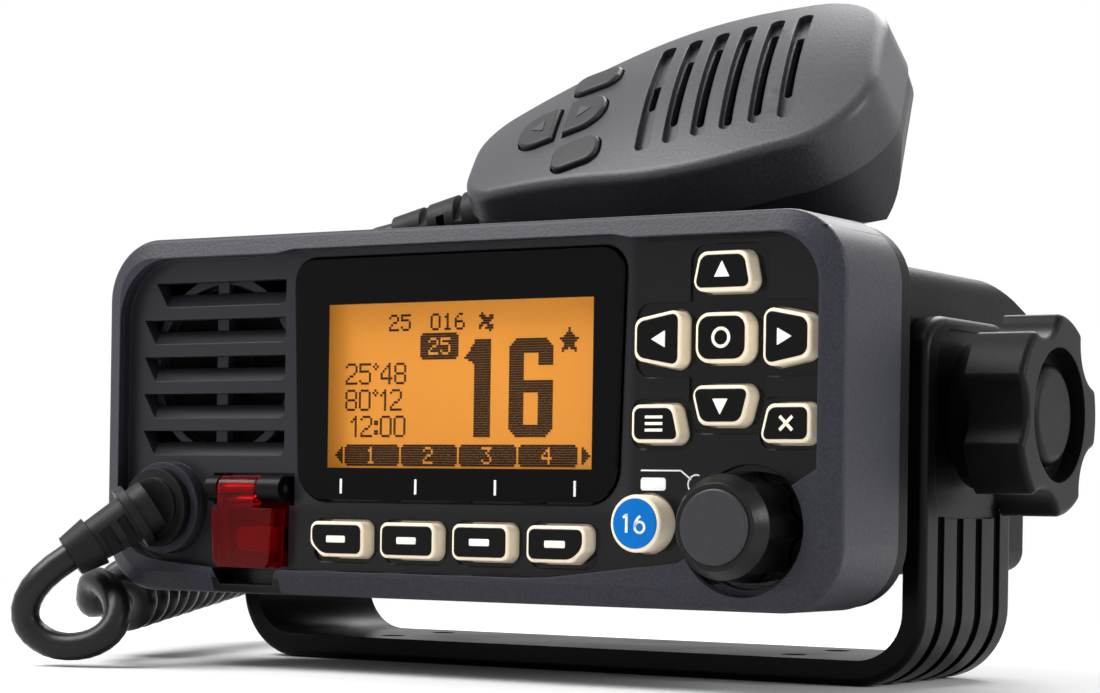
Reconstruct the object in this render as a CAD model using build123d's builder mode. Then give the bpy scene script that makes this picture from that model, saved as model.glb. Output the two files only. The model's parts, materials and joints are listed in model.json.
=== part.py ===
"""Fixed-mount marine radio with its cradle bracket and hand microphone.

Units are millimetres.  The origin is on the mounting surface, at the centre of the hole
pattern in the bracket base; X runs to the right, Y to the rear and Z up.
"""
import os
from math import atan, cos, degrees, pi, radians, sin

from build123d import *

os.makedirs("parts", exist_ok=True)

# ------------------------------------------------------------------ shared dimensions
# places
front_y = -57.3            # outer edge plane of the front panel
panel_z = 47.3             # centre height of the front panel
pivot_z = 48.5             # height of the tilt axis
touch_gap = 0.35           # air between moving pieces and their openings
running_gap = 0.05         # radial clearance of turning fits

# front panel
panel_width = 156.5
panel_height = 66.5
panel_corner = 11.5
panel_depth = 21.0
panel_wall = 2.6
frame_width = 3.7
frame_rise = 1.5
face_depth = 1.5
face_thickness = 3.3
pocket_step = 0.5
back_of_face = face_depth + face_thickness

# speaker side
grille_pitch = 7.0
grille_top = 25.0
grille_count = 5
grille_left = -70.8
grille_right = -36.9
top_row_inset = 2.8
speaker_x = -54.0
speaker_z = 9.0
speaker_radius = 17.3

# keys
key_front = -1.0
key_flange = 0.7
key_flange_front = back_of_face + 0.3
key_back = 6.0
key_travel = 0.6
sheet_front = 7.0
board_front = 8.0
board_thickness = 1.6
soft_pitch = 15.6
soft_left = -22.8
soft_z = -22.75
round_key_x = 41.0
round_key_z = -18.9
round_key_radius = 4.9

# rotary dial
dial_x = 60.2
dial_z = -19.2
dial_front = -10.7
dial_back = 1.6
dial_radius = 9.3
dial_ring_radius = 7.8
dial_disc_radius = 6.3
dial_recess_radius = 10.4
shaft_radius = 3.0
bush_radius = 4.3
flute_count = 8

# guarded button
guard_left = -51.0
guard_right = -36.4
guard_pocket_floor = 4.4
guard_pivot_y = 0.0
guard_pivot_z = -13.8
guard_barrel_radius = 2.4
guard_pin_radius = 0.8
guard_plate = 1.7
guard_bottom = -28.4

# chassis
flange_front = 21.6
flange_back = 25.2
flange_inset = 0.35
body_half_width = 70.5
body_half_height = 27.5
shoulder_back = 30.2
slope_start = 78.0
rear_wall_y = 94.0
fin_back_y = 108.5
slope_rear_z = 17.0
cavity_wall = 3.2
boss_face_x = body_half_width + 0.7
rib_count = 4
rib_left = 29.0
rib_height = 5.9

# bracket
arm_inner_x = boss_face_x + 0.1
arm_thickness = 4.1
bracket_half_depth = 19.3
base_thickness = 4.6
bend_radius = 13.5
arm_top_z = 65.7
arm_top_corner = 8.0
bracket_edge = 1.4
groove_depth = 0.9
groove_width = 2.9
band_width = 5.4
stud_radius = 3.0
knob_radius = 18.0
knob_outer_x = arm_inner_x + 21.0
knob_head = 11.0
washer_thickness = 1.0
base_hole_x = 45.0
base_hole_y = 9.0
base_hole_radius = 2.4

# microphone, in its own frame: x along the body, y across it, z out of its face
mic_origin = (7.5, 2.2, panel_z + body_half_height + 36.15)
mic_x_dir = (0.967, 0.190, 0.168)
mic_z_dir = (-0.002, -0.656, 0.755)
mic_top_end = 46.5
mic_cord_end = -42.5
mic_half_width = 29.5
mic_seam = -12.0
mic_crest = 1.6
mic_dome_radius = 125.0
mic_crown_radius = 230.0
mic_crown_x = 18.0
mic_hull = -27.0
mic_wall = 2.2
slot_pitch = 5.7
slot_count = 6
groove_length = 38.0
groove_floor = 1.6
mic_key_rise = 1.1
mic_key_foot = -8.0
mic_cord_z = -18.5
hanger_x = 0.0
hanger_neck = 3.6
hanger_pad = 6.8
mic_plug_radius = 4.4
mic_relief_length = 20.0
mic_board_front = -9.0
mic_board_back = -10.2
mic_skin = 3.4
ptt_x = 11.0
ptt_z = -8.2
ptt_length = 30.0
ptt_height = 5.0
# screw place, seat of its head, tip of its shank and foot of the post above it
mic_screw_places = [((34.5, 14.0), -25.0, -8.0, mic_seam + touch_gap),
                    ((34.5, -14.0), -25.0, -8.0, mic_seam + touch_gap),
                    ((-24.0, 11.0), -21.6, -4.4, mic_board_front + touch_gap),
                    ((-24.0, -11.0), -21.6, -4.4, mic_board_front + touch_gap)]

# cord
cord_radius = 2.65
coil_radius = 7.25


def fixed(x, y, z):
    """World point of a place given from the panel centre and its front plane."""
    return (x, front_y + y, panel_z + z)


front = Plane(origin=(0, front_y, panel_z), x_dir=(1, 0, 0), z_dir=(0, -1, 0))
mic = Plane(origin=mic_origin, x_dir=mic_x_dir, z_dir=mic_z_dir)
right_side = Plane(origin=(0, 0, 0), x_dir=(0, 1, 0), z_dir=(1, 0, 0))

# outlines of the rubber keys, given on the front plane: corner points and corner radius
key_outlines = {
    "key_channel_up": ([(51.4, 26.6), (60.4, 26.6), (61.8, 19.9), (50.0, 19.9)], 1.8),
    "key_channel_down": ([(50.0, 4.3), (61.8, 4.3), (60.0, -2.4), (51.8, -2.4)], 1.8),
    "key_left": ([(39.1, 15.6), (48.2, 17.3), (48.2, 7.0), (39.1, 8.7)], 1.8),
    "key_right": ([(63.6, 17.3), (72.4, 15.6), (72.4, 8.7), (63.6, 7.0)], 1.8),
    "key_enter": ([(50.9, 16.4), (60.9, 16.4), (60.9, 8.0), (50.9, 8.0)], 2.5),
    "key_menu": ([(38.8, 1.2), (47.0, 1.2), (48.6, -5.3), (38.8, -5.3)], 1.6),
    "key_clear": ([(64.6, 1.2), (72.6, 1.2), (72.6, -5.3), (63.0, -5.3)], 1.6),
}
soft_middles = {}
for number in range(4):
    middle = soft_left + number * soft_pitch
    lower_left = [(middle - 6.0, soft_z - 3.2)]
    lower_right = [(middle + 6.0, soft_z - 3.2)]
    if number == 0:
        lower_left = [(middle - 3.4, soft_z - 3.2), (middle - 6.0, soft_z - 0.9)]
    if number == 3:
        lower_right = [(middle + 6.0, soft_z - 0.9), (middle + 3.4, soft_z - 3.2)]
    soft_middles[f"soft_key_{number + 1}"] = middle
    key_outlines[f"soft_key_{number + 1}"] = (
        [(middle - 6.0, soft_z + 3.2), (middle + 6.0, soft_z + 3.2), *lower_right, *lower_left],
        1.5)


# ------------------------------------------------------------------ front panel
slot_cutters = []
for row in range(grille_count):
    slot_left = grille_left + (top_row_inset if row == 0 else 0.0)
    with BuildPart() as slot_cutter:
        with BuildSketch(front.offset(-face_depth + 0.5)):
            with BuildLine():
                Polyline((slot_left, 0), (grille_right, 0), (grille_right, -4.6),
                         (slot_left + 2.8, -4.6), close=True)
            make_face()
            fillet(vertices().group_by(Axis.Y)[0], 1.4)
        extrude(amount=-8.0)
        with BuildSketch(Plane(origin=fixed(-80, 0, 0), x_dir=(0, 1, 0), z_dir=(1, 0, 0))):
            with BuildLine():
                Polyline((face_depth - 0.5, 0), (face_depth - 0.5, -4.6), (face_depth, -4.6),
                         (face_depth + 2.6, -2.1), (face_depth + 6.5, -2.1),
                         (face_depth + 6.5, 0), close=True)
            make_face()
        extrude(amount=60.0, mode=Mode.INTERSECT)
    slot_cutters.append(slot_cutter.part)

with BuildPart() as front_panel:
    with BuildSketch(front):
        RectangleRounded(panel_width, panel_height, panel_corner)
    extrude(amount=-panel_depth)
    with BuildSketch(front):
        RectangleRounded(panel_width, panel_height, panel_corner)
    extrude(amount=frame_rise, taper=degrees(atan(frame_width / frame_rise)))
    outer_rim = front_panel.edges().filter_by(
        lambda e: abs(e.center().Y - front_y) < 0.01).filter_by(
        lambda e: abs(e.bounding_box().max.Y - e.bounding_box().min.Y) < 0.01)
    fillet(outer_rim, 1.2)
    # hollow behind the face
    with BuildSketch(front.offset(-back_of_face)):
        RectangleRounded(panel_width - 2 * panel_wall, panel_height - 2 * panel_wall,
                         panel_corner - panel_wall)
    extrude(amount=-panel_depth, mode=Mode.SUBTRACT)
    # sunken face inside the raised frame
    with BuildSketch(front.offset(frame_rise + 0.2)):
        with BuildLine():
            Polyline((-74.4, 29.4), (-37.5, 29.4), (-33.5, 30.1), (34.5, 30.1), (38.5, 29.4),
                     (74.0, 29.4), (74.0, -9.5), (48.5, -25.4), (21.0, -28.7),
                     (-50.0, -28.7), (-74.4, -26.6), close=True)
        make_face()
        fillet(vertices().filter_by(lambda v: v.X < -70 and v.Y > 0), 11.5)
        fillet(vertices().filter_by(lambda v: v.X < -70 and v.Y < 0), 9.5)
        fillet(vertices().filter_by(lambda v: v.X > 70 and v.Y > 20), 9.0)
        with Locations((dial_x, dial_z)):
            Circle(dial_recess_radius + 1.2)
    extrude(amount=-(frame_rise + 0.2 + face_depth), mode=Mode.SUBTRACT)
    # speaker louvres with the stiffening rib behind them
    for row in range(grille_count):
        with Locations((0, 0, grille_top - row * grille_pitch)):
            add(slot_cutters[row], mode=Mode.SUBTRACT)
    with BuildSketch(front.offset(-(face_depth + 2.9))):
        with Locations((-54.0, grille_top / 2 - 2.0)):
            Rectangle(2.6, 36.0)
    extrude(amount=-1.8)
    with BuildSketch(front.offset(-back_of_face)):
        with Locations((speaker_x, speaker_z)):
            Circle(speaker_radius)
            Circle(speaker_radius - 1.6, mode=Mode.SUBTRACT)
    extrude(amount=-2.0)
    # display opening with a ledge for the window
    with BuildSketch(front.offset(-face_depth + 0.1)):
        with BuildLine():
            Polyline((-34.8, 28.7), (36.4, 28.7), (35.2, -16.1), (-33.4, -16.1), close=True)
        make_face()
        fillet(vertices().group_by(Axis.Y)[-1], 4.6)
        fillet(vertices().group_by(Axis.Y)[0], 6.6)
    extrude(amount=-1.6, mode=Mode.SUBTRACT)
    with BuildSketch(front.offset(-face_depth)):
        with Locations((2.3, 5.0)):
            RectangleRounded(63.0, 36.5, 2.0)
    extrude(amount=-face_thickness - 1.0, mode=Mode.SUBTRACT)
    # shallow recess round the key cluster and round each soft key
    with BuildSketch(front.offset(-face_depth + 0.1)):
        with Locations((55.85, 12.15)):
            RectangleRounded(14.6, 31.8, 3.0)
            RectangleRounded(35.6, 12.8, 3.0)
        for x, side in ((43.4, 1), (67.9, -1)):
            with Locations((x, -2.0)):
                RectangleRounded(11.8, 8.6, 2.2)
        for number in range(4):
            with Locations((soft_left + number * soft_pitch, soft_z - 0.2)):
                RectangleRounded(13.8, 8.2, 2.4)
    extrude(amount=-(pocket_step + 0.1), mode=Mode.SUBTRACT)
    # openings of the keys
    with BuildSketch(front.offset(-face_depth + 0.1)):
        for points, corner in key_outlines.values():
            with BuildSketch(mode=Mode.PRIVATE) as opening:
                with BuildLine():
                    Polyline(*points, close=True)
                make_face()
                fillet(vertices(), corner)
                offset(amount=touch_gap)
            add(opening.sketch)
        with Locations((round_key_x, round_key_z)):
            Circle(round_key_radius + touch_gap)
    extrude(amount=-face_thickness - 1.0, mode=Mode.SUBTRACT)
    # dial recess and the hole of the encoder bush
    with BuildSketch(front.offset(-face_depth + 0.1)):
        with Locations((dial_x, dial_z)):
            Circle(dial_recess_radius)
    extrude(amount=-1.1, mode=Mode.SUBTRACT)
    with BuildSketch(front.offset(-face_depth)):
        with Locations((dial_x, dial_z)):
            Circle(bush_radius + 0.3)
    extrude(amount=-face_thickness - 1.0, mode=Mode.SUBTRACT)
    # well of the guarded button with its finger notch through the frame
    with BuildSketch(front.offset(-back_of_face)):
        with Locations(((guard_left + guard_right) / 2, -20.6)):
            Rectangle(21.6, 18.8)
    extrude(amount=-1.2)
    with BuildSketch(front.offset(frame_rise + 0.1)):
        with Locations(((guard_left + guard_right) / 2, -19.9)):
            Rectangle(16.2, 17.2)
        with Locations((-43.9, -13.9)):
            Rectangle(19.0, 5.9)
        with BuildLine():
            Polyline((-51.5, -28.0), (-36.0, -28.0), (-37.6, -31.6), (-49.8, -31.6), close=True)
        make_face()
    extrude(amount=-(frame_rise + 0.1 + guard_pocket_floor), mode=Mode.SUBTRACT)
    with BuildSketch(front):
        with Locations((-43.6, -23.0)):
            RectangleRounded(9.4 + 2 * touch_gap, 4.6 + 2 * touch_gap, 1.3)
    extrude(amount=-8.0, mode=Mode.SUBTRACT)
    # round boss and hole of the cord gland
    with BuildSketch(front.offset(-back_of_face)):
        with Locations((-63.4, -17.6)):
            Circle(8.6)
    extrude(amount=6.4)
    with BuildSketch(front.offset(1.6)):
        with Locations((-63.4, -17.6)):
            Circle(6.9)
    extrude(amount=-3.0, mode=Mode.SUBTRACT)
    with BuildSketch(front.offset(1.6)):
        with Locations((-63.4, -17.6)):
            Circle(4.6)
    extrude(amount=-9.0, mode=Mode.SUBTRACT)
    # four screw posts
    with BuildSketch(front.offset(-back_of_face)):
        with GridLocations(148.0, 42.0, 2, 2):
            Circle(2.9)
    extrude(amount=-(panel_depth - back_of_face))
    with BuildSketch(front.offset(-panel_depth)):
        with GridLocations(148.0, 42.0, 2, 2):
            Circle(1.25)
    extrude(amount=13.0, mode=Mode.SUBTRACT)
front_panel.part.label = "front_panel"
export_step(front_panel.part, "parts/front_panel.step")
print("front_panel", front_panel.part.volume, len(front_panel.solids()))

# ------------------------------------------------------------------ display
with BuildPart() as display_window:
    with BuildSketch(front.offset(-0.6)):
        with BuildLine():
            Polyline((-34.6, 28.5), (36.2, 28.5), (35.0, -15.9), (-33.2, -15.9), close=True)
        make_face()
        fillet(vertices().group_by(Axis.Y)[-1], 4.4)
        fillet(vertices().group_by(Axis.Y)[0], 6.4)
    extrude(amount=-2.4)
    chamfer(display_window.faces().sort_by(Axis.Y)[0].edges(), 0.35)
display_window.part.label = "display_window"
export_step(display_window.part, "parts/display_window.step")

with BuildPart() as lcd_module:
    with BuildSketch(front.offset(-3.4)):
        with Locations((2.3, 5.0)):
            Rectangle(61.4, 34.8)
    extrude(amount=-1.1)
    with BuildSketch(front.offset(-4.5)):
        with Locations((2.3, 5.0)):
            Rectangle(61.4, 32.0)
    extrude(amount=-1.1)
lcd_module.part.label = "lcd_module"
export_step(lcd_module.part, "parts/lcd_module.step")

with BuildPart() as lcd_holder:
    with BuildSketch(front.offset(-5.6)):
        with Locations((2.3, 5.0)):
            Rectangle(62.4, 35.6)
    extrude(amount=-(board_front - 5.6))
    with BuildSketch(front.offset(-5.6)):
        with GridLocations(66.4, 20.0, 2, 2):
            with Locations((2.3, 5.0)):
                Rectangle(4.2, 4.0)
    extrude(amount=-(board_front - 5.6))
lcd_holder.part.label = "lcd_holder"
export_step(lcd_holder.part, "parts/lcd_holder.step")

# ------------------------------------------------------------------ speaker
speaker_front = back_of_face + 2.0
with BuildPart() as speaker_frame:
    with BuildSketch(front.offset(-speaker_front)):
        with Locations((speaker_x, speaker_z)):
            Circle(speaker_radius)
            Circle(speaker_radius - 2.2, mode=Mode.SUBTRACT)
    extrude(amount=-3.6)
    with BuildSketch(front.offset(-(speaker_front + 3.6))):
        with Locations((speaker_x, speaker_z)):
            Circle(speaker_radius)
            Circle(9.5, mode=Mode.SUBTRACT)
    extrude(amount=-1.2)
    with BuildSketch(front.offset(-(speaker_front + 4.8))):
        with Locations((speaker_x, speaker_z)):
            Circle(11.5)
            Circle(9.5, mode=Mode.SUBTRACT)
    extrude(amount=-6.2)
    with BuildSketch(front.offset(-(speaker_front + 9.0))):
        with Locations((speaker_x, speaker_z)):
            Circle(11.5)
    extrude(amount=-2.0)
speaker_frame.part.label = "speaker_frame"
export_step(speaker_frame.part, "parts/speaker_frame.step")

with BuildPart() as speaker_cone:
    with BuildSketch(Plane(origin=fixed(speaker_x, 0, speaker_z), x_dir=(1, 0, 0),
                           z_dir=(0, 0, 1))):
        with BuildLine():
            Polyline((0, speaker_front + 2.4), (5.0, speaker_front + 1.0),
                     (5.6, speaker_front + 2.8), (speaker_radius - 2.2, speaker_front + 0.6),
                     (speaker_radius - 2.2, speaker_front + 1.1),
                     (9.3, speaker_front + 2.7), (9.3, speaker_front + 8.6),
                     (8.4, speaker_front + 8.6), (8.4, speaker_front + 3.4),
                     (0, speaker_front + 3.4), close=True)
        make_face()
    revolve(axis=Axis(fixed(speaker_x, 0, speaker_z), (0, 1, 0)))
speaker_cone.part.label = "speaker_cone"
export_step(speaker_cone.part, "parts/speaker_cone.step")

# ------------------------------------------------------------------ panel keys
for key_name, (points, corner) in key_outlines.items():
    with BuildPart() as panel_key:
        with BuildSketch(front.offset(-key_front)):
            with BuildLine():
                Polyline(*points, close=True)
            make_face()
            fillet(vertices(), corner)
        extrude(amount=-(key_back - key_front))
        top_edges = panel_key.faces().sort_by(Axis.Y)[0].edges()
        fillet(top_edges, 0.45)
        with BuildSketch(front.offset(-key_flange_front)):
            with BuildLine():
                Polyline(*points, close=True)
            make_face()
            fillet(vertices(), corner)
            offset(amount=key_flange)
        extrude(amount=-(key_back - key_flange_front))
        if key_name in soft_middles:
            with BuildSketch(front.offset(-key_front)):
                with Locations((soft_middles[key_name], soft_z)):
                    Rectangle(4.3, 1.2)
            extrude(amount=-0.25, mode=Mode.SUBTRACT)
    panel_key.part.label = key_name
    export_step(panel_key.part, f"parts/{key_name}.step")

with BuildPart() as key_sixteen:
    with BuildSketch(front.offset(3.0)):
        with Locations((round_key_x, round_key_z)):
            Circle(round_key_radius)
    extrude(amount=-(key_back + 3.0))
    fillet(key_sixteen.faces().sort_by(Axis.Y)[0].edges(), 0.5)
    with BuildSketch(front.offset(-key_flange_front)):
        with Locations((round_key_x, round_key_z)):
            Circle(round_key_radius + key_flange)
    extrude(amount=-(key_back - key_flange_front))
key_sixteen.part.label = "key_sixteen"
export_step(key_sixteen.part, "parts/key_sixteen.step")

with BuildPart() as keypad_sheet:
    with BuildSketch(front.offset(-sheet_front)):
        with Locations((55.8, 5.6)):
            Rectangle(35.2, 25.0)
        with Locations((55.9, 18.0)):
            Rectangle(14.2, 21.0)
        with Locations((2.9, soft_z)):
            Rectangle(65.0, 10.0)
        with Locations((40.6, round_key_z)):
            Rectangle(12.8, 14.6)
        with Locations((46.0, -9.0)):
            Rectangle(9.0, 6.0)
    extrude(amount=-(board_front - sheet_front))
keypad_sheet.part.label = "keypad_sheet"
export_step(keypad_sheet.part, "parts/keypad_sheet.step")

# ------------------------------------------------------------------ front circuit board
board_half_height = panel_height / 2 - panel_wall - 1.25
with BuildPart() as front_board:
    with BuildSketch(front.offset(-board_front)):
        with BuildLine():
            Polyline((-34.8, board_half_height - 0.4), (70.2, board_half_height - 0.4),
                     (70.2, -board_half_height), (-52.0, -board_half_height),
                     (-52.0, -12.0), (-34.8, -12.0), close=True)
        make_face()
        with Locations((71.4, 4.0)):
            Rectangle(4.0, 26.0)
        with Locations((dial_x, dial_z)):
            Circle(bush_radius + 0.3, mode=Mode.SUBTRACT)
    extrude(amount=-board_thickness)
    with BuildSketch(front.offset(-(board_front + board_thickness))):
        with Locations((10.0, 8.0)):
            Rectangle(16.0, 16.0)
        with Locations((-18.0, -14.0)):
            Rectangle(24.0, 5.0)
        with Locations((34.0, 14.0)):
            Rectangle(9.0, 12.0)
    extrude(amount=-2.0)
front_board.part.label = "front_board"
export_step(front_board.part, "parts/front_board.step")

# ------------------------------------------------------------------ rotary dial
dial_axis = Axis(fixed(dial_x, 0, dial_z), (0, 1, 0))
dial_half = Plane(origin=fixed(dial_x, 0, dial_z), x_dir=(1, 0, 0), z_dir=(0, 0, 1))
with BuildPart() as volume_knob:
    with BuildSketch(dial_half):
        with BuildLine():
            Polyline((0, dial_front + 0.8), (dial_disc_radius, dial_front + 0.8),
                     (dial_disc_radius, dial_front + 0.4), (dial_ring_radius - 0.6, dial_front + 0.4),
                     (dial_ring_radius, dial_front + 1.4), (dial_radius - 0.6, dial_front + 3.0),
                     (dial_radius, dial_back - 1.0), (dial_radius, dial_back),
                     (0, dial_back), close=True)
        make_face()
    revolve(axis=dial_axis)
    with BuildSketch(front.offset(-dial_back)):
        with Locations((dial_x, dial_z)):
            with PolarLocations(dial_radius + 1.9, flute_count, start_angle=22.5):
                Circle(3.1)
    extrude(amount=dial_back - dial_front - 3.4, mode=Mode.SUBTRACT)
    with BuildSketch(front.offset(-dial_back)):
        with Locations((dial_x, dial_z)):
            Circle(bush_radius + 0.5)
    extrude(amount=3.6, mode=Mode.SUBTRACT)
    with BuildSketch(front.offset(-dial_back)):
        with Locations((dial_x, dial_z)):
            Circle(shaft_radius)
    extrude(amount=10.0, mode=Mode.SUBTRACT)
volume_knob.part.label = "volume_knob"
export_step(volume_knob.part, "parts/volume_knob.step")

with BuildPart() as knob_cap:
    with BuildSketch(front.offset(-(dial_front + 0.8))):
        with Locations((dial_x, dial_z)):
            Circle(dial_disc_radius)
    extrude(amount=1.0)
    fillet(knob_cap.faces().sort_by(Axis.Y)[0].edges(), 0.5)
knob_cap.part.label = "knob_cap"
export_step(knob_cap.part, "parts/knob_cap.step")

shaft_front = dial_back - 10.0
with BuildPart() as encoder_shaft:
    with BuildSketch(front.offset(-shaft_front)):
        with Locations((dial_x, dial_z)):
            Circle(shaft_radius)
    extrude(amount=-(13.4 - shaft_front))
encoder_shaft.part.label = "encoder_shaft"
export_step(encoder_shaft.part, "parts/encoder_shaft.step")

with BuildPart() as encoder_body:
    with BuildSketch(front.offset(-(board_front + board_thickness))):
        with Locations((dial_x, dial_z)):
            RectangleRounded(12.6, 12.6, 0.8)
    extrude(amount=-7.4)
    with BuildSketch(front.offset(-3.2)):
        with Locations((dial_x, dial_z)):
            Circle(bush_radius)
    extrude(amount=-(board_front + board_thickness - 3.2))
    with BuildSketch(front.offset(-3.0)):
        with Locations((dial_x, dial_z)):
            Circle(shaft_radius + running_gap)
    extrude(amount=-11.0, mode=Mode.SUBTRACT)
    with BuildSketch(front.offset(-13.0)):
        with Locations((dial_x, dial_z)):
            Circle(1.5 + running_gap)
    extrude(amount=-5.0, mode=Mode.SUBTRACT)
encoder_body.part.label = "encoder_body"
export_step(encoder_body.part, "parts/encoder_body.step")

with BuildPart() as encoder_plunger:
    with BuildSketch(front.offset(-13.4)):
        with Locations((dial_x, dial_z)):
            Circle(1.5)
    extrude(amount=-2.8)
encoder_plunger.part.label = "encoder_plunger"
export_step(encoder_plunger.part, "parts/encoder_plunger.step")

# ------------------------------------------------------------------ guarded button
pivot_line = Plane(origin=fixed(0, guard_pivot_y, guard_pivot_z), x_dir=(0, 1, 0),
                   z_dir=(1, 0, 0))
barrel_left = -49.4
barrel_right = -40.9
with BuildPart() as distress_cover:
    with BuildSketch(pivot_line.offset(barrel_left)):
        Circle(guard_barrel_radius)
    extrude(amount=barrel_right - barrel_left)
    with BuildSketch(pivot_line.offset(barrel_left)):
        with BuildLine():
            Polyline((-2.4, 0), (-2.4, -3.7), (-0.7, -3.7), (1.0, -1.5), (1.0, 0), close=True)
        make_face()
    extrude(amount=barrel_right - barrel_left)
    with BuildSketch(front.offset(2.4)):
        with BuildLine():
            Polyline((guard_left + 0.2, -17.4), (guard_right - 0.2, -17.4),
                     (guard_right - 0.8, guard_bottom), (guard_left + 0.9, guard_bottom),
                     close=True)
        make_face()
        fillet(vertices().group_by(Axis.Y)[0], 1.8)
    extrude(amount=-guard_plate)
    with BuildSketch(front.offset(0.7)):
        with BuildLine():
            Polyline((guard_left + 0.2, -17.4), (guard_right - 0.2, -17.4),
                     (guard_right - 0.8, guard_bottom), (guard_left + 0.9, guard_bottom),
                     close=True)
        make_face()
        with Locations((-43.7, -22.0)):
            Rectangle(12.2, 11.0, mode=Mode.SUBTRACT)
    extrude(amount=-2.4)
    with BuildSketch(pivot_line.offset(-60)):
        Circle(guard_pin_radius + running_gap)
    extrude(amount=30, mode=Mode.SUBTRACT)
distress_cover.part.label = "distress_cover"
export_step(distress_cover.part, "parts/distress_cover.step")

with BuildPart() as hinge_bracket:
    for x_from, x_to in ((-52.6, -49.8), (-40.5, -35.2)):
        with BuildSketch(pivot_line.offset(x_from)):
            Circle(guard_barrel_radius)
            with BuildLine():
                Polyline((0, 2.4), (4.2, 2.4), (4.2, -2.4), (0, -2.4), close=True)
            make_face()
        extrude(amount=x_to - x_from)
    with BuildSketch(front.offset(-(guard_pocket_floor - 1.4))):
        with Locations((-43.9, guard_pivot_z)):
            Rectangle(17.4, 4.8)
    extrude(amount=-1.4)
    with BuildSketch(pivot_line.offset(-60)):
        Circle(guard_pin_radius)
    extrude(amount=30, mode=Mode.SUBTRACT)
hinge_bracket.part.label = "hinge_bracket"
export_step(hinge_bracket.part, "parts/hinge_bracket.step")

with BuildPart() as cover_hinge_pin:
    with BuildSketch(pivot_line.offset(-52.4)):
        Circle(guard_pin_radius)
    extrude(amount=17.0)
cover_hinge_pin.part.label = "cover_hinge_pin"
export_step(cover_hinge_pin.part, "parts/cover_hinge_pin.step")

with BuildPart() as distress_button:
    with BuildSketch(front.offset(-2.6)):
        with Locations((-43.6, -23.0)):
            RectangleRounded(9.4, 4.6, 1.0)
    extrude(amount=-4.4)
    fillet(distress_button.faces().sort_by(Axis.Y)[0].edges(), 0.4)
    with BuildSketch(front.offset(-6.3)):
        with Locations((-43.6, -23.0)):
            RectangleRounded(11.0, 6.2, 1.2)
    extrude(amount=-0.7)
distress_button.part.label = "distress_button"
export_step(distress_button.part, "parts/distress_button.step")

# ------------------------------------------------------------------ cord gland
gland_start = fixed(-63.4, -5.6, -17.6)
gland_dir = (-0.578, -0.602, -0.548)
gland = Plane(origin=gland_start, x_dir=(0.548, 0, -0.578), z_dir=gland_dir)
gland_length = 17.0
with BuildPart() as panel_gland:
    with BuildSketch(front.offset(1.4)):
        with Locations((-63.4, -17.6)):
            Circle(6.7)
    extrude(amount=-2.8)
    with BuildSketch(front):
        with Locations((-63.4, -17.6)):
            Circle(4.4)
    extrude(amount=-8.6)
    with BuildSketch(front.offset(-5.1)):
        with Locations((-63.4, -17.6)):
            Circle(5.8)
    extrude(amount=-1.6)
    with BuildSketch(front.offset(1.4)):
        with Locations((-63.4, -17.6)):
            Circle(5.6)
    extrude(amount=3.4)
    with BuildSketch(front.offset(2.6)):
        with Locations((-63.4, -17.6)):
            Circle(7.4)
    extrude(amount=1.3)
    with BuildSketch(gland.offset(-1.0)):
        Circle(5.1)
    with BuildSketch(gland.offset(gland_length)):
        Circle(3.6)
    loft()
    with BuildSketch(gland.offset(2.2)):
        Circle(6.2)
    extrude(amount=1.8)
    with BuildSketch(gland.offset(11.6)):
        Circle(4.9)
    extrude(amount=5.4, taper=10)
    for step, opening in ((4.6, 1.8), (8.0, 2.4)):
        for turn in (0, 180):
            with BuildSketch(gland.offset(step)):
                with Locations(Rotation(0, 0, turn + 25)):
                    with Locations((5.4, 0)):
                        Rectangle(5.6, 9.0)
            extrude(amount=opening, mode=Mode.SUBTRACT)
panel_gland.part.label = "panel_gland"
export_step(panel_gland.part, "parts/panel_gland.step")

# ------------------------------------------------------------------ gasket and chassis
with BuildPart() as panel_gasket:
    with BuildSketch(front.offset(-panel_depth)):
        RectangleRounded(panel_width - 1.8, panel_height - 1.8, panel_corner - 0.9)
        RectangleRounded(panel_width - 6.0, panel_height - 6.0, panel_corner - 3.0,
                         mode=Mode.SUBTRACT)
        with GridLocations(148.0, 42.0, 2, 2):
            Circle(2.2, mode=Mode.SUBTRACT)
    extrude(amount=-(flange_front - panel_depth))
panel_gasket.part.label = "panel_gasket"
export_step(panel_gasket.part, "parts/panel_gasket.step")

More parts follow.
